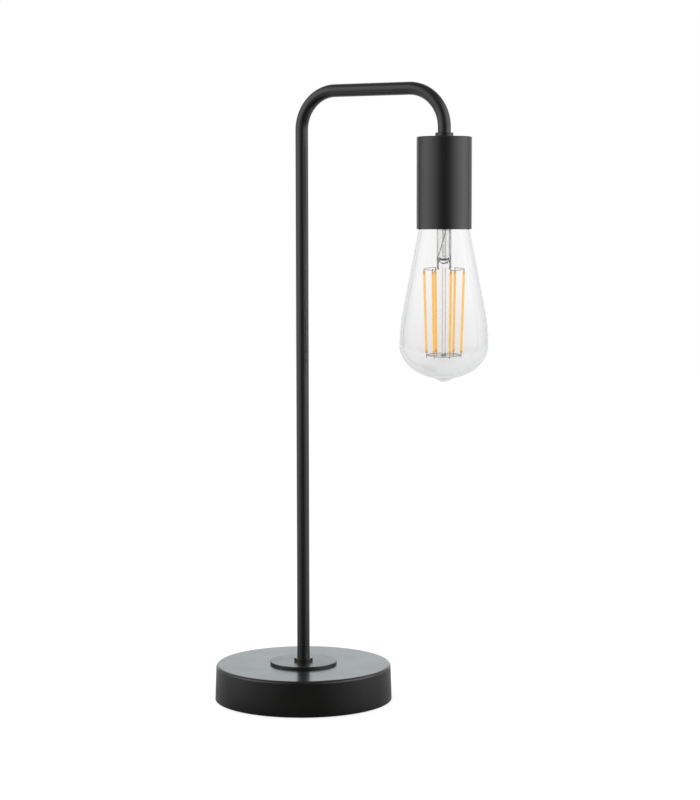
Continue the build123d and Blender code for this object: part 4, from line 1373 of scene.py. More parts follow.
@dataclass
class Stem:
    """The bent tube, the plate and ring at its foot, and the wires inside it."""

    frame: dict[str, Any]
    shop: Workshop
    tube_radius: float = 4.7
    bore_radius: float = 3.5
    foot: float = 12.0
    arm_height: float = 452.6
    arm_reach: float = 117.0
    bend_radius: float = 28.2
    end: float = 406.2
    foot_thread_top: float = 31.0
    end_thread_top: float = 420.1
    thread_pitch: float = 1.0
    thread_rise: float = 0.25
    thread_depth: float = 0.6

    def build(self) -> None:
        """Make and dress the stem."""
        dress_node(self.frame, "flange_plate", PLATE_COAT)
        dress_node(self.frame, "foot_ring", POWDER_COAT)
        dress_node(self.frame, "wire_live", insulation(Insulation.BROWN))
        dress_node(self.frame, "wire_neutral", insulation(Insulation.BLUE))
        self.make_tube()

    def rows(self, x: float, start: float, end: float) -> list[Vector]:
        """Points close enough together to carry the thread, from start towards end."""
        count = round(abs(end - start) / self.thread_pitch * 8)
        return [Vector((x, 0, start + (end - start) * step / count)) for step in range(count)]

    def make_tube(self) -> None:
        """Sweep the tube along its bends and roll a thread on both of its ends."""
        reach, height = self.arm_reach, self.arm_height
        corners = ((0, self.foot_thread_top), (0, height), (reach, height), (reach, self.end_thread_top))
        bends = filleted([Vector((x, 0, z)) for x, z in corners], [self.bend_radius] * 2, steps=28)
        path = [
            *self.rows(0, self.foot, self.foot_thread_top),
            *bends,
            *self.rows(reach, self.end_thread_top - 0.1, self.end),
            Vector((reach, 0, self.end)),
        ]
        steps = []
        ends = ((0.0, self.foot, self.foot_thread_top), (reach, self.end, self.end_thread_top))
        for axis_x, low, high in ends:
            inputs = {
                "Axis X": axis_x * MM,
                "Low": (low - self.thread_pitch) * MM,
                "High": high * MM,
                "Skin": (self.bore_radius + self.tube_radius) / 2 * MM,
                "Pitch": self.thread_pitch * MM,
                "Rise": self.thread_rise * MM,
                "Thread Depth": self.thread_depth * MM,
                "Finish": POWDER_COAT.build(),
            }
            steps.append((self.shop.rolling, inputs))
        size = {"sides": 64, "bore": self.bore_radius, "after": steps}
        tube = self.shop.swept(path, self.tube_radius, POWDER_COAT, **size)
        place_piece("bent_tube", tube, "lamp", POWDER_COAT, "stem_tube")


@dataclass
class Cup:
    """The cup round the lampholder, and the washer and nut that hold it."""

    frame: dict[str, Any]
    shop: Workshop
    axis_x: float = 117.0
    washer_radius: float = 9.0
    washer_bottom: float = 415.3
    nut_bottom: float = 411.8

    def build(self) -> None:
        """Make and dress the cup and its fasteners."""
        dress_node(self.frame, "lamp_cup", POWDER_COAT)
        dress_node(self.frame, "cup_ring", POWDER_COAT)
        sizes = self.washer_radius, self.washer_bottom, self.nut_bottom
        Fastening(self.shop, "tube", "cup", self.axis_x, *sizes).build()


@dataclass
class Lampholder:
    """The lampholder in the cup: dome, body, threaded sleeve, insert, contacts and screws."""

    frame: dict[str, Any]
    shop: Workshop
    axis_x: float = 117.0
    mouth: float = 363.0
    lip_radius: float = 13.5
    lip_top: float = 364.5
    bore_radius: float = 14.1
    radius: float = 17.0
    grip_radius: float = 17.6
    grip_bottom: float = 365.0
    grip_height: float = 9.0
    shoulder: float = 396.6
    neck_radius: float = 15.6
    neck_height: float = 2.5
    flutes: int = 40
    flute_depth: float = 0.55
    sleeve_radius: float = 13.95
    sleeve_bore: float = 13.45
    sleeve_top: float = 389.8
    thread_bottom: float = 367.2
    thread_top: float = 386.5
    thread_pitch: float = 3.629
    thread_depth: float = 0.9
    terminal_top: float = 400.5
    terminal_offset: float = 7.5
    screw_radius: float = 1.25
    screw_foot: float = 398.55
    screw_head_radius: float = 2.3
    screw_head_height: float = 1.4
    slot_depth: float = 0.8
    grub_radius: float = 1.5
    grub_length: float = 3.6
    grub_height: float = 408.0
    grub_start: float = 5.0

    def build(self) -> None:
        """Make and dress the lampholder."""
        dress_node(self.frame, "holder_dome", BLACK_PLASTIC)
        dress_node(self.frame, "holder_insert", STEATITE)
        dress_node(self.frame, "centre_contact", BRASS)
        dress_node(self.frame, "side_contact", BRASS)
        self.make_body()
        self.make_sleeve()
        self.make_terminal_screws()
        self.make_grub_screw()

    def make_body(self) -> None:
        """Turn the body, with flutes round its grip."""
        low = self.grip_bottom + self.grip_radius - self.radius
        high = self.grip_bottom + self.grip_height
        neck_top = self.shoulder + self.neck_height
        grip = [
            Station(self.grip_radius, low + (high - low) * step / 6, flute=1.0 if 0 < step < 6 else 0.0)
            for step in range(7)
        ]
        outline = [
            Station(self.lip_radius, self.mouth),
            Station(self.radius - 0.4, self.mouth),
            Station(self.radius, self.mouth + 0.4),
            Station(self.radius, self.grip_bottom),
            *grip,
            Station(self.radius, high),
            Station(self.radius, self.shoulder),
            Station(self.neck_radius, self.shoulder),
            Station(self.neck_radius, neck_top),
            Station(self.bore_radius, neck_top),
            Station(self.bore_radius, self.lip_top),
            Station(self.lip_radius, self.lip_top),
            Station(self.lip_radius, self.mouth),
        ]
        flutes = {"facets": self.flutes * 6, "flutes": self.flutes, "flute_depth": self.flute_depth}
        body = self.shop.turned(outline, BLACK_PLASTIC, self.axis_x, **flutes)
        place_piece("fluted_body", body, "lamp", BLACK_PLASTIC, "holder_body")

    def make_sleeve(self) -> None:
        """Roll the sheet sleeve whose thread takes the cap."""
        pitch, bore, radius = self.thread_pitch, self.sleeve_bore, self.sleeve_radius
        start, end = Station(bore, self.thread_top), Station(bore, self.thread_bottom)
        inner = threaded_run(start, end, pitch, pitch / 2, rows_per_turn=16)
        outline = [
            Station(bore, self.sleeve_top),
            *inner,
            Station(bore, self.lip_top),
            Station(radius, self.lip_top),
            *[Station(radius, spot.height, spot.thread) for spot in reversed(inner)],
            Station(radius, self.sleeve_top),
            Station(bore, self.sleeve_top),
        ]
        sleeve = self.shop.turned(outline, BRASS, self.axis_x, pitch=pitch, depth=self.thread_depth)
        place_piece("rolled_sleeve", sleeve, "lamp", BRASS, "thread_sleeve")

    def make_terminal_screws(self) -> None:
        """Make the two slotted screws that clamp the wires' ends."""
        pitch, lead_in = 0.5, 0.3
        head, radius, foot = self.screw_head_radius, self.screw_radius, self.screw_foot
        top = self.terminal_top + self.screw_head_height
        start, end = Station(radius, foot + lead_in), Station(radius, self.terminal_top - 0.1)
        outline = [
            Station(0, foot),
            Station(radius - lead_in, foot),
            *threaded_run(start, end, pitch, lead_in),
            Station(radius, self.terminal_top),
            Station(head, self.terminal_top),
            Station(head, top - 0.4),
            Station(head - 0.15, top - 0.1),
            Station(head - 0.4, top),
            Station(0, top),
        ]
        slot = (4 * head, 0.6, 2 * self.slot_depth)
        rows = {"grid": (1, 2), "gaps": (0.0, 2 * self.terminal_offset), "centre_x": self.axis_x}
        screws = self.shop.screws(outline, top, slot, 8, **rows)
        place_piece("terminal_screws", screws, "lamp", ZINC_STEEL, "holder_terminal_screws")

    def make_grub_screw(self) -> None:
        """Make the grub screw that locks the dome on the tube, lying along the arm."""
        outline = set_screw(self.grub_radius, 0.0, self.grub_length)
        slot = (4 * self.grub_radius, 0.5, 2 * self.slot_depth)
        screw = self.shop.screws(outline, self.grub_length, slot, 3, facets=40)
        spot = Vector((self.axis_x + self.grub_start, 0, self.grub_height)) * MM
        screw.transform(Matrix.Translation(spot) @ Matrix.Rotation(TURN / 4, 4, "Y"))
        place_piece("dome_lock_screw", screw, "lamp", ZINC_STEEL, "holder_grub_screw")


@dataclass
class Bulb:
    """The filament bulb: glass, cap, mount, wires and filaments, measured down from the cup's mouth."""

    frame: dict[str, Any]
    shop: Workshop
    axis_x: float = 117.0
    mouth: float = 352.3
    turned: float = 28.5
    belly: float = 32.0
    belly_depth: float = 82.0
    belly_swell: float = 2.3
    dome_height: float = 25.0
    wall: float = 0.9
    mouth_radius: float = 18.4
    flank_end: float = 58.0
    shoulder_rise: float = 3.5
    neck_radius: float = 12.4
    neck_start: float = 9.2
    neck_top: float = 13.7
    tip_radius: float = 8.5
    tip_drop: float = 2.3
    cap_radius: float = 13.1
    cap_wall: float = 0.4
    cap_edge: float = 362.0
    cap_shell_top: float = 382.5
    cap_top: float = 385.0
    cap_top_radius: float = 9.2
    thread_bottom: float = 366.8
    thread_top: float = 381.4
    thread_pitch: float = 3.629
    thread_depth: float = 0.9
    board_height: float = 18.7
    board_thickness: float = 1.2
    board_radius: float = 11.4
    capacitor_radius: float = 4.0
    capacitor_height: float = 9.0
    chip_reach: float = 4.2
    chip_height: float = 2.5
    chip_offset: float = 6.0
    lead_radius: float = 0.4
    lead_spacing: float = 8.0
    lead_foot: float = 28.0
    crossing: tuple[float, float] = (1.0, -3.0)
    press_top: float = 19.0
    seal_middle: float = 22.3
    seal_half_width: float = 3.7
    seal_half_height: float = 1.5
    seal_depth: float = 1.1
    bubble_count: int = 90
    bubble_radii: tuple[float, float] = (0.15, 0.45)
    filament_count: int = 6
    first_angle: float = -66.0
    stray: float = -6.0
    filament_radius: float = 0.9
    filament_top: float = 29.8
    filament_bottom: float = 88.7
    cage_top_radius: float = 14.25
    cage_bottom_radius: float = 12.4
    frame_wire: float = 0.27
    weld_radius: float = 0.5
    frame_top: float = 28.4
    frame_bottom: float = 90.0
    frame_lean: float = 0.055
    tab_radius: float = 0.3
    tab_drop: float = 3.3
    tab_rise: float = 1.8
    ring_radius: float = 11.7
    hub_radius: float = 1.95
    hub_bore: float = 1.36
    hub_height: float = 1.6

    def build(self) -> None:
        """Make and dress the bulb."""
        dress_node(self.frame, "bulb_mount", PINCHED_GLASS)
        dress_node(self.frame, "bulb_insulator", CAP_GLASS)
        dress_node(self.frame, "bulb_contact", SOLDER)
        self.make_glass()
        self.make_cap()
        self.make_driver()
        self.make_leads()
        self.make_seal()
        self.make_frames()
        self.make_filaments()
        self.make_welds()

    def spot(self, x: float, y: float, depth: float) -> Vector:
        """A point of the bulb.

        Args:
            x: how far it lies across the leads.
            y: how far it lies behind them.
            depth: how far it lies below the cup's mouth.

        Returns:
            The point in the frame, in millimetres.
        """
        turn = math.radians(self.turned)
        across = Vector((math.cos(turn), math.sin(turn), 0))
        along = Vector((-math.sin(turn), math.cos(turn), 0))
        return Vector((self.axis_x, 0, self.mouth - depth)) + across * x + along * y

    def cage_spot(self, radius: float, angle: float, depth: float) -> Vector:
        """A point on the filament cage, by its radius, angle in degrees and depth."""
        turn = math.radians(angle)
        return self.spot(radius * math.cos(turn), radius * math.sin(turn), depth)

    def leaning(self) -> Matrix:
        """The slight lean of the cage's wires, which rise away from the crossed lead's front.

        Returns:
            The matrix for a mesh of the cage.
        """
        turn = math.radians(self.turned)
        lean = Matrix.Identity(4)
        lean[2][0], lean[2][1] = -math.sin(turn) * self.frame_lean, math.cos(turn) * self.frame_lean
        axis = Matrix.Translation((self.axis_x * MM, 0, 0))
        return axis @ lean @ axis.inverted()

    def wall_side(self, inset: float) -> list[tuple[float, float]]:
        """One side of the glass wall, from its belly up to its neck.

        Args:
            inset: how far it lies inside the outer side.

        Returns:
            Radius and depth of its points, the depth below zero above the cup's mouth.
        """
        run = self.flank_end + self.shoulder_rise
        lean = math.atan2(self.belly - self.belly_swell - self.mouth_radius, self.flank_end)
        cosine, sine = math.cos(lean), math.sin(lean)
        high = (
            self.mouth_radius - self.shoulder_rise * math.tan(lean) - inset * cosine,
            inset * sine - self.shoulder_rise,
        )
        low = (high[0] + run * math.tan(lean), high[1] + run)
        neck = (self.neck_radius - inset, inset - self.neck_start)
        belly = arc_from((self.belly - inset, self.belly_depth), (0.0, -1.0), low, 24)
        flank = [
            (low[0] + (high[0] - low[0]) * step / 24, low[1] + (high[1] - low[1]) * step / 24)
            for step in range(1, 24)
        ]
        shoulder = arc_from(high, (-sine, -cosine), neck, 16)
        return [*belly, *flank, *shoulder, (self.neck_radius - inset, -self.neck_top)]

    def dome_side(self, inset: float) -> list[tuple[float, float]]:
        """One side of the glass dome, from the drawn tip up to just below the belly.

        Args:
            inset: how far it lies inside the outer side.

        Returns:
            Radius and depth of its points.
        """
        root = math.asin(self.tip_radius / self.belly)
        angles = [math.asin(self.tip_radius * step / 12 / self.belly) for step in range(12)]
        angles += [root + (TURN / 4 - root) * step / 28 for step in range(28)]
        points = []
        for angle in angles:
            radius = (self.belly - inset) * math.sin(angle)
            pull = self.tip_drop * (0.5 + 0.5 * math.cos(math.pi * min(1.0, radius / self.tip_radius)))
            dome = (self.dome_height - inset) * math.cos(angle)
            points.append((radius, self.belly_depth + dome + pull))
        return points

    def make_glass(self) -> None:
        """Blow the envelope: one wall from the neck to the belly, a dome, and the drawn tip."""
        outside = [*self.dome_side(0.0), *self.wall_side(0.0)]
        inside = [*self.dome_side(self.wall), *self.wall_side(self.wall)]
        wall = [*outside, *reversed(inside)]
        outline = [Station(radius, self.mouth - depth) for radius, depth in wall]
        glass = self.shop.turned(outline, BLOWN_GLASS, self.axis_x, facets=160)
        place_piece("blown_envelope", glass, "bulb", BLOWN_GLASS, "bulb_glass")

    def make_cap(self) -> None:
        """Roll the cap: a plain collar, the thread, and a shoulder in to the insulator."""
        root = self.cap_radius - self.thread_depth
        pitch = self.thread_pitch
        start, end = (Station(self.cap_radius, level) for level in (self.thread_bottom, self.thread_top))
        run = threaded_run(start, end, pitch, pitch / 2, rows_per_turn=16)
        # The thread's last half turn sinks into the shoulder instead of rising back to the crest
        middle = (self.thread_bottom + self.thread_top) / 2
        run = [replace(spot, thread=1.0) if spot.height > middle else spot for spot in run]
        outer = [
            Station(self.cap_radius, self.cap_edge),
            Station(self.cap_radius, self.cap_edge + 2),
            *run,
            Station(root, self.cap_shell_top),
            Station(self.cap_top_radius + 0.8, self.cap_top - 0.5),
            Station(self.cap_top_radius, self.cap_top),
        ]
        wall, roof = self.cap_wall, self.cap_top - self.cap_wall
        inner = [
            Station(spot.radius - wall, min(spot.height, roof), spot.thread) for spot in reversed(outer)
        ]
        outline = [*outer, Station(self.cap_top_radius - wall, self.cap_top), *inner, outer[0]]
        cap = self.shop.turned(outline, NICKEL_CAP, self.axis_x, pitch=pitch, depth=self.thread_depth)
        place_piece("threaded_cap", cap, "bulb", NICKEL_CAP, "bulb_cap")

    def make_driver(self) -> None:
        """Make the round board in the cap, its capacitor and its chip."""
        low = self.mouth + self.board_height
        high = low + self.board_thickness
        disc = [(0.0, low), (self.board_radius, low), (self.board_radius, high), (0.0, high)]
        board = self.shop.turned(eased(disc, 0.15), BOARD, self.axis_x)
        place_piece("driver_board", board, "bulb", BOARD, "bulb_driver")
        radius, top = self.capacitor_radius, high + self.capacitor_height
        groove = [(radius, high + 1.2), (radius - 0.25, high + 1.6), (radius, high + 2.0)]
        lid = [(radius, top), (radius - 0.7, top), (radius - 0.8, top - 0.25), (0.0, top - 0.25)]
        can = eased([(0.0, high), (radius, high), *groove, *lid], 0.3)
        mesh = self.shop.turned(can, PART_SLEEVE, facets=48)
        mesh.transform(Matrix.Translation((self.spot(-radius, 0, 0) - Vector((0, 0, self.mouth))) * MM))
        place_piece("driver_capacitor", mesh, "bulb", PART_SLEEVE)
        # A turned outline with four facets is a square block
        block = [(0.0, high), (self.chip_reach, high)]
        block += [(radius, level + self.chip_height) for radius, level in reversed(block)]
        mesh = self.shop.turned(eased(block, 0.3), CHIP_EPOXY, facets=4)
        turn = Matrix.Rotation(math.radians(self.turned) + TURN / 8, 4, "Z")
        spot = (self.spot(self.chip_offset, 0, 0) - Vector((0, 0, self.mouth))) * MM
        mesh.transform(Matrix.Translation(spot) @ turn)
        place_piece("driver_chip", mesh, "bulb", CHIP_EPOXY)

    def make_leads(self) -> None:
        """Run both lead wires from the board through the press to the frames."""
        half = self.lead_spacing / 2
        board, foot = -self.board_height, self.lead_foot
        straight = [self.spot(half, 0, board), self.spot(half, 0, foot)]
        front = [self.spot(*self.crossing, board), self.spot(*self.crossing, 2.0)]
        press = [self.spot(-half, 0, self.press_top), self.spot(-half, 0, foot)]
        crossed = filleted([*front, *press], [4.0, 4.0])
        leads = (("lead_right", straight, "lead_straight"), ("lead_left", crossed, "lead_crossed"))
        for name, path, node in leads:
            mesh = self.shop.swept(path, self.lead_radius, NICKEL_WIRE)
            place_piece(name, mesh, "bulb", NICKEL_WIRE, node)

    def make_seal(self) -> None:
        """Strew the bubbles that the pinch leaves in the glass between both leads."""
        turns = [math.pi * step / 6 for step in range(7)]
        ball = [Station(math.sin(turn), -math.cos(turn)) for turn in turns]
        inputs = {
            "Count": self.bubble_count,
            "Half Width": self.seal_half_width * MM,
            "Half Height": self.seal_half_height * MM,
            "Depth": self.seal_depth * MM,
            "Least": self.bubble_radii[0],
            "Most": self.bubble_radii[1],
            "Seed": 11,
            "Finish": SEAL_BUBBLES.build(),
        }
        after = [(self.shop.scattering, inputs)]
        mesh = self.shop.turned(ball, SEAL_BUBBLES, facets=12, after=after)
        turn = Matrix.Rotation(math.radians(self.turned), 4, "Z")
        mesh.transform(Matrix.Translation(self.spot(0, 0, self.seal_middle) * MM) @ turn)
        place_piece("seal_bubbles", mesh, "bulb", SEAL_BUBBLES)

    def around(self, axis_x: float, finish: Finish) -> tuple[Tree, dict[str, Any]]:
        """The step that repeats a piece at every filament, with the first one astray.

        Args:
            axis_x: where the circle's axis stands.
            finish: the piece's finish.

        Returns:
            The tree and its inputs.
        """
        inputs = {
            "Count": self.filament_count,
            "Centre": (axis_x * MM, 0.0, 0.0),
            "First Angle": math.radians(self.turned + self.first_angle),
            "Sweep": TURN,
            "Stray": math.radians(self.stray),
            "Finish": finish.build(),
        }
        return self.shop.circling, inputs

    def bead(self, centre: Vector, stretch: float, after: Steps = ()) -> Mesh:
        """A weld bead: a small ball of melted wire.

        Args:
            centre: its middle.
            stretch: its height over its width.
            after: trees that work on the ball.

        Returns:
            The mesh.
        """
        radius = self.weld_radius
        turns = [math.pi * step / 8 for step in range(9)]
        outline = [
            Station(radius * math.sin(turn), centre.z - stretch * radius * math.cos(turn))
            for turn in turns
        ]
        mesh = self.shop.turned(outline, WELD, facets=12, after=after)
        mesh.transform(Matrix.Translation(Vector((centre.x, centre.y, 0)) * MM))
        return mesh

    def make_welds(self) -> None:
        """Put a bead on each end of a lead and where each filament's tab meets its wire."""
        half = self.lead_spacing / 2
        beads = [self.bead(self.spot(side * half, 0, self.frame_top - 0.5), 2.0) for side in (-1, 1)]
        ring = (self.ring_radius + self.cage_bottom_radius) / 2
        for radius, depth in ((self.cage_top_radius, self.frame_top + 0.15), (ring, self.frame_bottom)):
            # The ball stands at the cage's radius before it is repeated round the cage's axis
            stand = {"Count": 1, "Centre": (radius * MM, 0.0, 0.0), "Sweep": 0.0, "Finish": WELD.build()}
            rounds = [(self.shop.circling, stand), self.around(0.0, WELD)]
            beads.append(self.bead(Vector((self.axis_x, 0, self.mouth - depth)), 0.8, rounds))
        welds = joined(beads)
        welds.transform(self.leaning())
        place_piece("weld_beads", welds, "bulb", WELD)

    def make_frames(self) -> None:
        """Make the two upper arcs with their runs to the leads, and the lower ring on its hub."""
        half = self.lead_spacing / 2
        reach = 360 / self.filament_count * (self.filament_count / 2 - 1)
        for name, node, first, stray, lead_x in (
            ("wire_arc_right", "upper_frame_right", self.first_angle, self.stray, half),
            ("wire_arc_left", "upper_frame_left", self.first_angle + 180, 0.0, -half),
        ):
            angles = [first + stray + (reach - stray) * step / 24 for step in range(25)]
            arc = [self.cage_spot(self.cage_top_radius, angle, self.frame_top) for angle in angles]
            if lead_x < 0:
                arc.reverse()
            run = self.spot(lead_x, 0, self.frame_top)
            self.place_frame(name, node, [self.wire(arc), self.wire([arc[0], run])])
        depth, bore, radius = self.frame_bottom, self.hub_bore, self.hub_radius
        ring = [self.cage_spot(self.ring_radius, 360 * step / 48, depth) for step in range(48)]
        lower = [self.wire(ring, closed=True)]
        for side in (-1, 1):
            spoke = (side * (bore + 0.1), side * self.ring_radius)
            lower.append(self.wire([self.spot(x, 0, depth) for x in spoke]))
        low = self.mouth - depth - self.hub_height / 2
        high = self.mouth - depth + self.hub_height / 2
        hub = eased([(bore, low), (radius, low), (radius, high), (bore, high)], 0.2)
        lower.append(self.shop.turned(hub, NICKEL_WIRE, self.axis_x, facets=40))
        self.place_frame("wire_ring", "lower_frame", lower)

    def wire(self, path: Sequence[Vector], closed: bool = False) -> Mesh:
        """A wire of the frames."""
        return self.shop.swept(path, self.frame_wire, NICKEL_WIRE, sides=10, closed=closed)

    def place_frame(self, name: str, node: str, parts: Sequence[Mesh]) -> None:
        """Join the wires of one frame and lean it.

        Args:
            name: the piece's name.
            node: the node that it stands for.
            parts: its wires.
        """
        frame = joined(parts)
        frame.transform(self.leaning())
        place_piece(name, frame, "bulb", NICKEL_WIRE, node)

    def make_filaments(self) -> None:
        """Make one coated bar and its wire tabs, then repeat them round the cage.

        The first stands a little nearer to its neighbour, as the hand-made cage's does.
        """
        top = Vector((self.cage_top_radius, 0, self.mouth - self.filament_top))
        bottom = Vector((self.cage_bottom_radius, 0, self.mouth - self.filament_bottom))
        up = (top - bottom).normalized()
        length = (top - bottom).length
        # The coat swells a little over each chip under it and rounds off at its ends
        chips = 28
        rows = chips * 6
        coat, swell = [], []
        for step in range(rows + 1):
            share = step / rows
            coat.append(bottom + up * length * share)
            ripple = 0.985 + 0.015 * math.cos(TURN * chips * share)
            end = min(share, 1 - share) * length
            swell.append(ripple * math.sin(TURN / 4 * min(1.0, 0.45 + end / 1.2)))
        after = [self.around(self.axis_x, PHOSPHOR)]
        bars = self.shop.swept(coat, self.filament_radius, PHOSPHOR, swell=swell, after=after)
        names = [f"filament_{number + 1}" for number in range(self.filament_count)]
        place_piece("coated_filaments", bars, "bulb", PHOSPHOR, *names)
        # Each tab's end is snipped, and the coat grips a flattened tail
        shares = (0.0, 0.04, 0.5, 1.0)
        shape = {"sides": 12, "swell": [0.8, 1.0, 1.0, 0.9]}
        shape["after"] = [self.around(self.axis_x, NICKEL_WIRE)]
        grip = up * 0.6
        tabs = []
        for start, end in (
            (bottom - up * self.tab_drop, bottom + grip),
            (top + up * self.tab_rise, top - grip),
        ):
            path = [start.lerp(end, share) for share in shares]
            tabs.append(self.shop.swept(path, self.tab_radius, NICKEL_WIRE, **shape))
        place_piece("filament_tabs", joined(tabs), "bulb", NICKEL_WIRE)


@dataclass
class Studio:
    """The pale room: floor, world, soft lamps and the camera at the photograph's angle."""

    camera_spot: Point = (0.80592, -1.38522, 0.36498)
    heading: float = 28.932
    pitch: float = 4.983
    roll: float = 0.083
    lens: float = 97.36
    sensor: float = 36.0
    near_floor: float = 0.26
    far_floor: float = 0.75
    front_floor: float = 0.12
    ceiling: float = 0.24
    ceiling_rise: tuple[float, float] = (0.5, 0.92)
    right_gain: float = 0.13
    paper_behind: Colour = (1.23, 1.3, 1.315, 1.0)
    # Round the lamp, from the camera's side at 0 to straight behind it at 1: the dark room, a wide soft
    # box on each side, then the paper behind, each place with its strength
    walls: tuple[tuple[float, float], ...] = (
        (0.0, 0.13), (0.01, 0.17), (0.047, 0.4), (0.1, 0.78), (0.185, 1.13), (0.29, 1.43),
        (0.42, 1.6), (0.57, 1.35), (0.75, 0.6), (0.9, 0.5), (0.96, 0.85), (1.0, 1.3),
    )
    hidden_floor: float = 60.0
    floor_size: float = 6.0

    def build(self) -> None:
        """Make everything round the lamp."""
        self.make_camera()
        self.make_world()
        self.make_floor()
        self.make_lamps()
        bpy.context.scene.view_settings.view_transform = "Standard"

    def directions(self) -> tuple[Vector, Vector]:
        """The camera's level directions.

        Returns:
            Straight ahead of it, and to its right.
        """
        turn = math.radians(self.heading)
        right = Vector((math.cos(turn), math.sin(turn), 0))
        return Vector((-right.y, right.x, 0)), right

    def make_camera(self) -> None:
        """Stand the camera where the photograph was taken from."""
        ahead, right = self.directions()
        tip, lean = math.radians(self.pitch), math.radians(self.roll)
        forward = ahead * math.cos(tip) - Vector((0, 0, math.sin(tip)))
        up = right.cross(forward)
        columns = [
            right * math.cos(lean) - up * math.sin(lean),
            right * math.sin(lean) + up * math.cos(lean),
            -forward,
        ]
        data = bpy.data.cameras.new("view_camera")
        data.lens = self.lens
        data.sensor_width = self.sensor
        data.clip_start, data.clip_end = 0.05, 50.0
        camera = bpy.data.objects.new("view_camera", data)
        camera.matrix_world = Matrix.Translation(self.camera_spot) @ Matrix(columns).transposed().to_4x4()
        bpy.context.scene.collection.objects.link(camera)
        bpy.context.scene.camera = camera

    @staticmethod
    def rays_to_eye(tree: Tree) -> tuple[bpy.types.bpy_prop_collection, Formula]:
        """Tell the rays that see the room as white.

        Args:
            tree: the tree of the world or the floor.

        Returns:
            What the light path gives, and 1 for a ray from the camera or one that went through glass.
        """
        path = add_node(tree, "ShaderNodeLightPath").outputs
        inside = ("GREATER_THAN", path["Transmission Depth"], 0.5)
        through = ("MAXIMUM", path["Is Transmission Ray"], inside)
        return path, ("MAXIMUM", path["Is Camera Ray"], through)

    def make_world(self) -> None:
        """A room that is white to the eye, plain to matt surfaces, and a studio to shiny ones."""
        world = bpy.data.worlds.new("pale_room")
        bpy.context.scene.world = world
        world.use_nodes = True
        tree = world.node_tree
        tree.nodes.clear()
        ahead, right = self.directions()
        way = add_node(tree, "ShaderNodeTexCoord").outputs["Generated"]
        rise = add_node(tree, "ShaderNodeSeparateXYZ", {"Vector": way}).outputs["Z"]
        facing = add_node(tree, "ShaderNodeVectorMath", {0: way, 1: ahead}, operation="DOT_PRODUCT")
        # A little over 1, so that nothing is divided by zero straight up
        level = ("SQRT", ("SUBTRACT", 1.0001, ("MULTIPLY", rise, rise)))
        cosine = ("DIVIDE", facing.outputs["Value"], level)
        ramp = add_node(tree, "ShaderNodeValToRGB", {"Fac": ("MULTIPLY_ADD", cosine, 0.5, 0.5)})
        stops = ramp.color_ramp.elements
        for position, _ in self.walls[1:-1]:
            stops.new(position)
        for stop, (_, strength) in zip(stops, self.walls):
            stop.color = (strength, strength, strength, 1.0)
        stops[-1].color = self.paper_behind
        # The box on the right stands closer, so it is brighter
        beside = add_node(tree, "ShaderNodeVectorMath", {0: way, 1: right}, operation="DOT_PRODUCT")
        balance = ("MULTIPLY_ADD", beside.outputs["Value"], self.right_gain, 1.0)
        round_about = {0: ramp.outputs["Color"], "Scale": balance}
        scaled = add_node(tree, "ShaderNodeVectorMath", round_about, operation="SCALE")
        low, high = self.ceiling_rise
        span = {"Value": rise, "From Min": low, "From Max": high}
        overhead = add_node(tree, "ShaderNodeMapRange", span, interpolation_type="SMOOTHSTEP")
        path, seen = self.rays_to_eye(tree)
        matt = ("GREATER_THAN", path["Diffuse Depth"], 0.5)
        ceiling = (self.ceiling, self.ceiling, self.ceiling, 1.0)
        colour = scaled.outputs["Vector"]
        for share, second in ((overhead, ceiling), (seen, WHITE), (matt, WHITE)):
            both = {"Factor": share, 6: colour, 7: second}
            colour = add_node(tree, "ShaderNodeMix", both, data_type="RGBA").outputs[2]
        sky = add_node(tree, "ShaderNodeBackground", {"Color": colour})
        add_node(tree, "ShaderNodeOutputWorld", {"Surface": sky})

    def make_floor(self) -> None:
        """A pale table that keeps the lamp's soft shadow and is white to the eye.

        It is clear from below and under the lamp, so that the underside is lit as the rest is.
        """
        half = self.floor_size / 2
        corners = [(-half, -half, 0), (half, -half, 0), (half, half, 0), (-half, half, 0)]
        mesh = bpy.data.meshes.new("pale_floor")
        mesh.from_pydata(corners, [], [(0, 1, 2, 3)])
        floor = bpy.data.objects.new("pale_floor", mesh)
        bpy.context.scene.collection.objects.link(floor)
        material = bpy.data.materials.new("paper_white_matt")
        mesh.materials.append(material)
        material.use_nodes = True
        tree = material.node_tree
        tree.nodes.clear()
        path, seen = self.rays_to_eye(tree)
        direct = ("LESS_THAN", path["Diffuse Depth"], 0.5)
        paper = add_node(tree, "ShaderNodeBsdfDiffuse", {"Color": linear("#e4e4e4")})
        shade = add_node(tree, "ShaderNodeBsdfDiffuse", {"Color": linear("#898989")})
        glow = add_node(tree, "ShaderNodeEmission", {"Strength": 0.8})
        white = add_node(tree, "ShaderNodeAddShader", {0: shade, 1: glow})
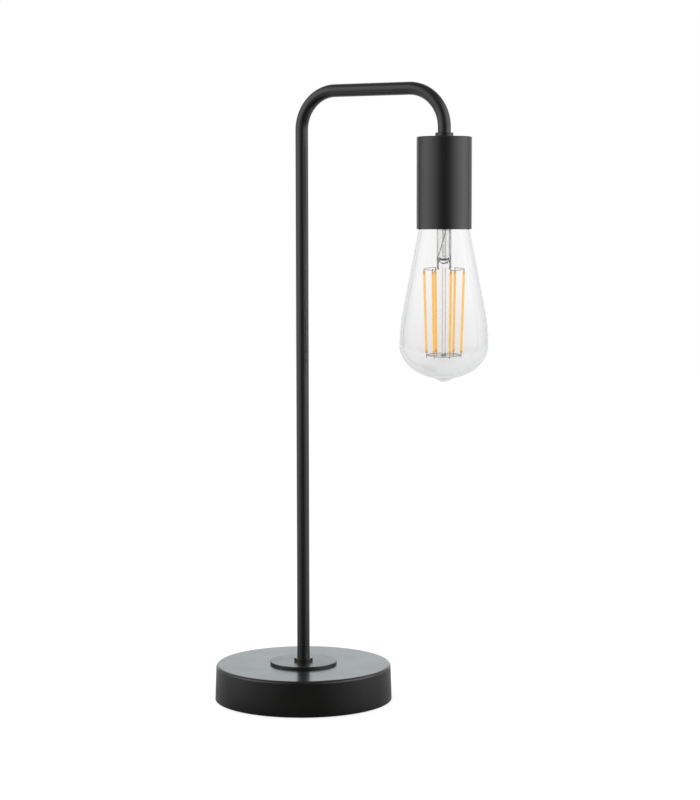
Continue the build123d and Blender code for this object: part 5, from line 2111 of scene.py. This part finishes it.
        # In a shiny surface the table is dim by the lamp and in front of it, and paler further away
        place = add_node(tree, "ShaderNodeTexCoord").outputs["Object"]
        away = add_node(tree, "ShaderNodeVectorMath", {0: place}, operation="LENGTH").outputs["Value"]
        outwards = add_node(tree, "ShaderNodeVectorMath", {0: place}, operation="NORMALIZE")
        towards = {0: outwards, 1: -self.directions()[0]}
        front = add_node(tree, "ShaderNodeVectorMath", towards, operation="DOT_PRODUCT")
        fades = []
        for value, low, high, first, last in (
            (away, 0.08, 0.5, self.near_floor, self.far_floor),
            (front.outputs["Value"], 0.3, 0.95, 1.0, self.front_floor),
        ):
            span = {"Value": value, "From Min": low, "From Max": high, "To Min": first, "To Max": last}
            fades.append(add_node(tree, "ShaderNodeMapRange", span))
        mirror = add_node(tree, "ShaderNodeEmission", {"Strength": ("MULTIPLY", *fades)})
        hidden = ("LESS_THAN", away, self.hidden_floor * MM)
        below = add_node(tree, "ShaderNodeNewGeometry").outputs["Backfacing"]
        look = paper
        for share, second in (
            (("MULTIPLY", path["Is Glossy Ray"], direct), mirror),
            (("MULTIPLY", seen, direct), white),
            (("MAXIMUM", below, hidden), add_node(tree, "ShaderNodeBsdfTransparent")),
        ):
            look = add_node(tree, "ShaderNodeMixShader", {"Fac": share, 1: look, 2: second})
        add_node(tree, "ShaderNodeOutputMaterial", {"Surface": look})

    def make_lamps(self) -> None:
        """Two large soft lamps, which shiny surfaces don't mirror and glass doesn't show."""
        ahead, right = self.directions()
        target = Vector((0.04, 0, 0.2))
        for name, spot, size, power in (
            ("softbox_left", target - right * 1.2 - ahead * 0.3 + Vector((0, 0, 1.1)), 0.9, 5.0),
            ("softbox_right", target + right * 1.2 + ahead * 0.2 + Vector((0, 0, 0.9)), 0.9, 3.5),
        ):
            data = bpy.data.lights.new(name, "AREA")
            data.size = size
            data.energy = power
            lamp = bpy.data.objects.new(name, data)
            lamp.location = spot
            lamp.rotation_euler = (target - spot).to_track_quat("-Z", "Y").to_euler()
            lamp.visible_glossy = False
            lamp.visible_transmission = False
            bpy.context.scene.collection.objects.link(lamp)


def main() -> None:
    """Load the frame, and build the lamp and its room."""
    logging.basicConfig(level=logging.INFO, format="%(message)s")
    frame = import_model()
    Studio().build()
    shop = Workshop()
    for part in (Base, TerminalBlock, Stem, Cup, Lampholder, Bulb):
        log.info("%s", part.__name__)
        part(frame, shop).build()


if __name__ == "__main__":
    main()
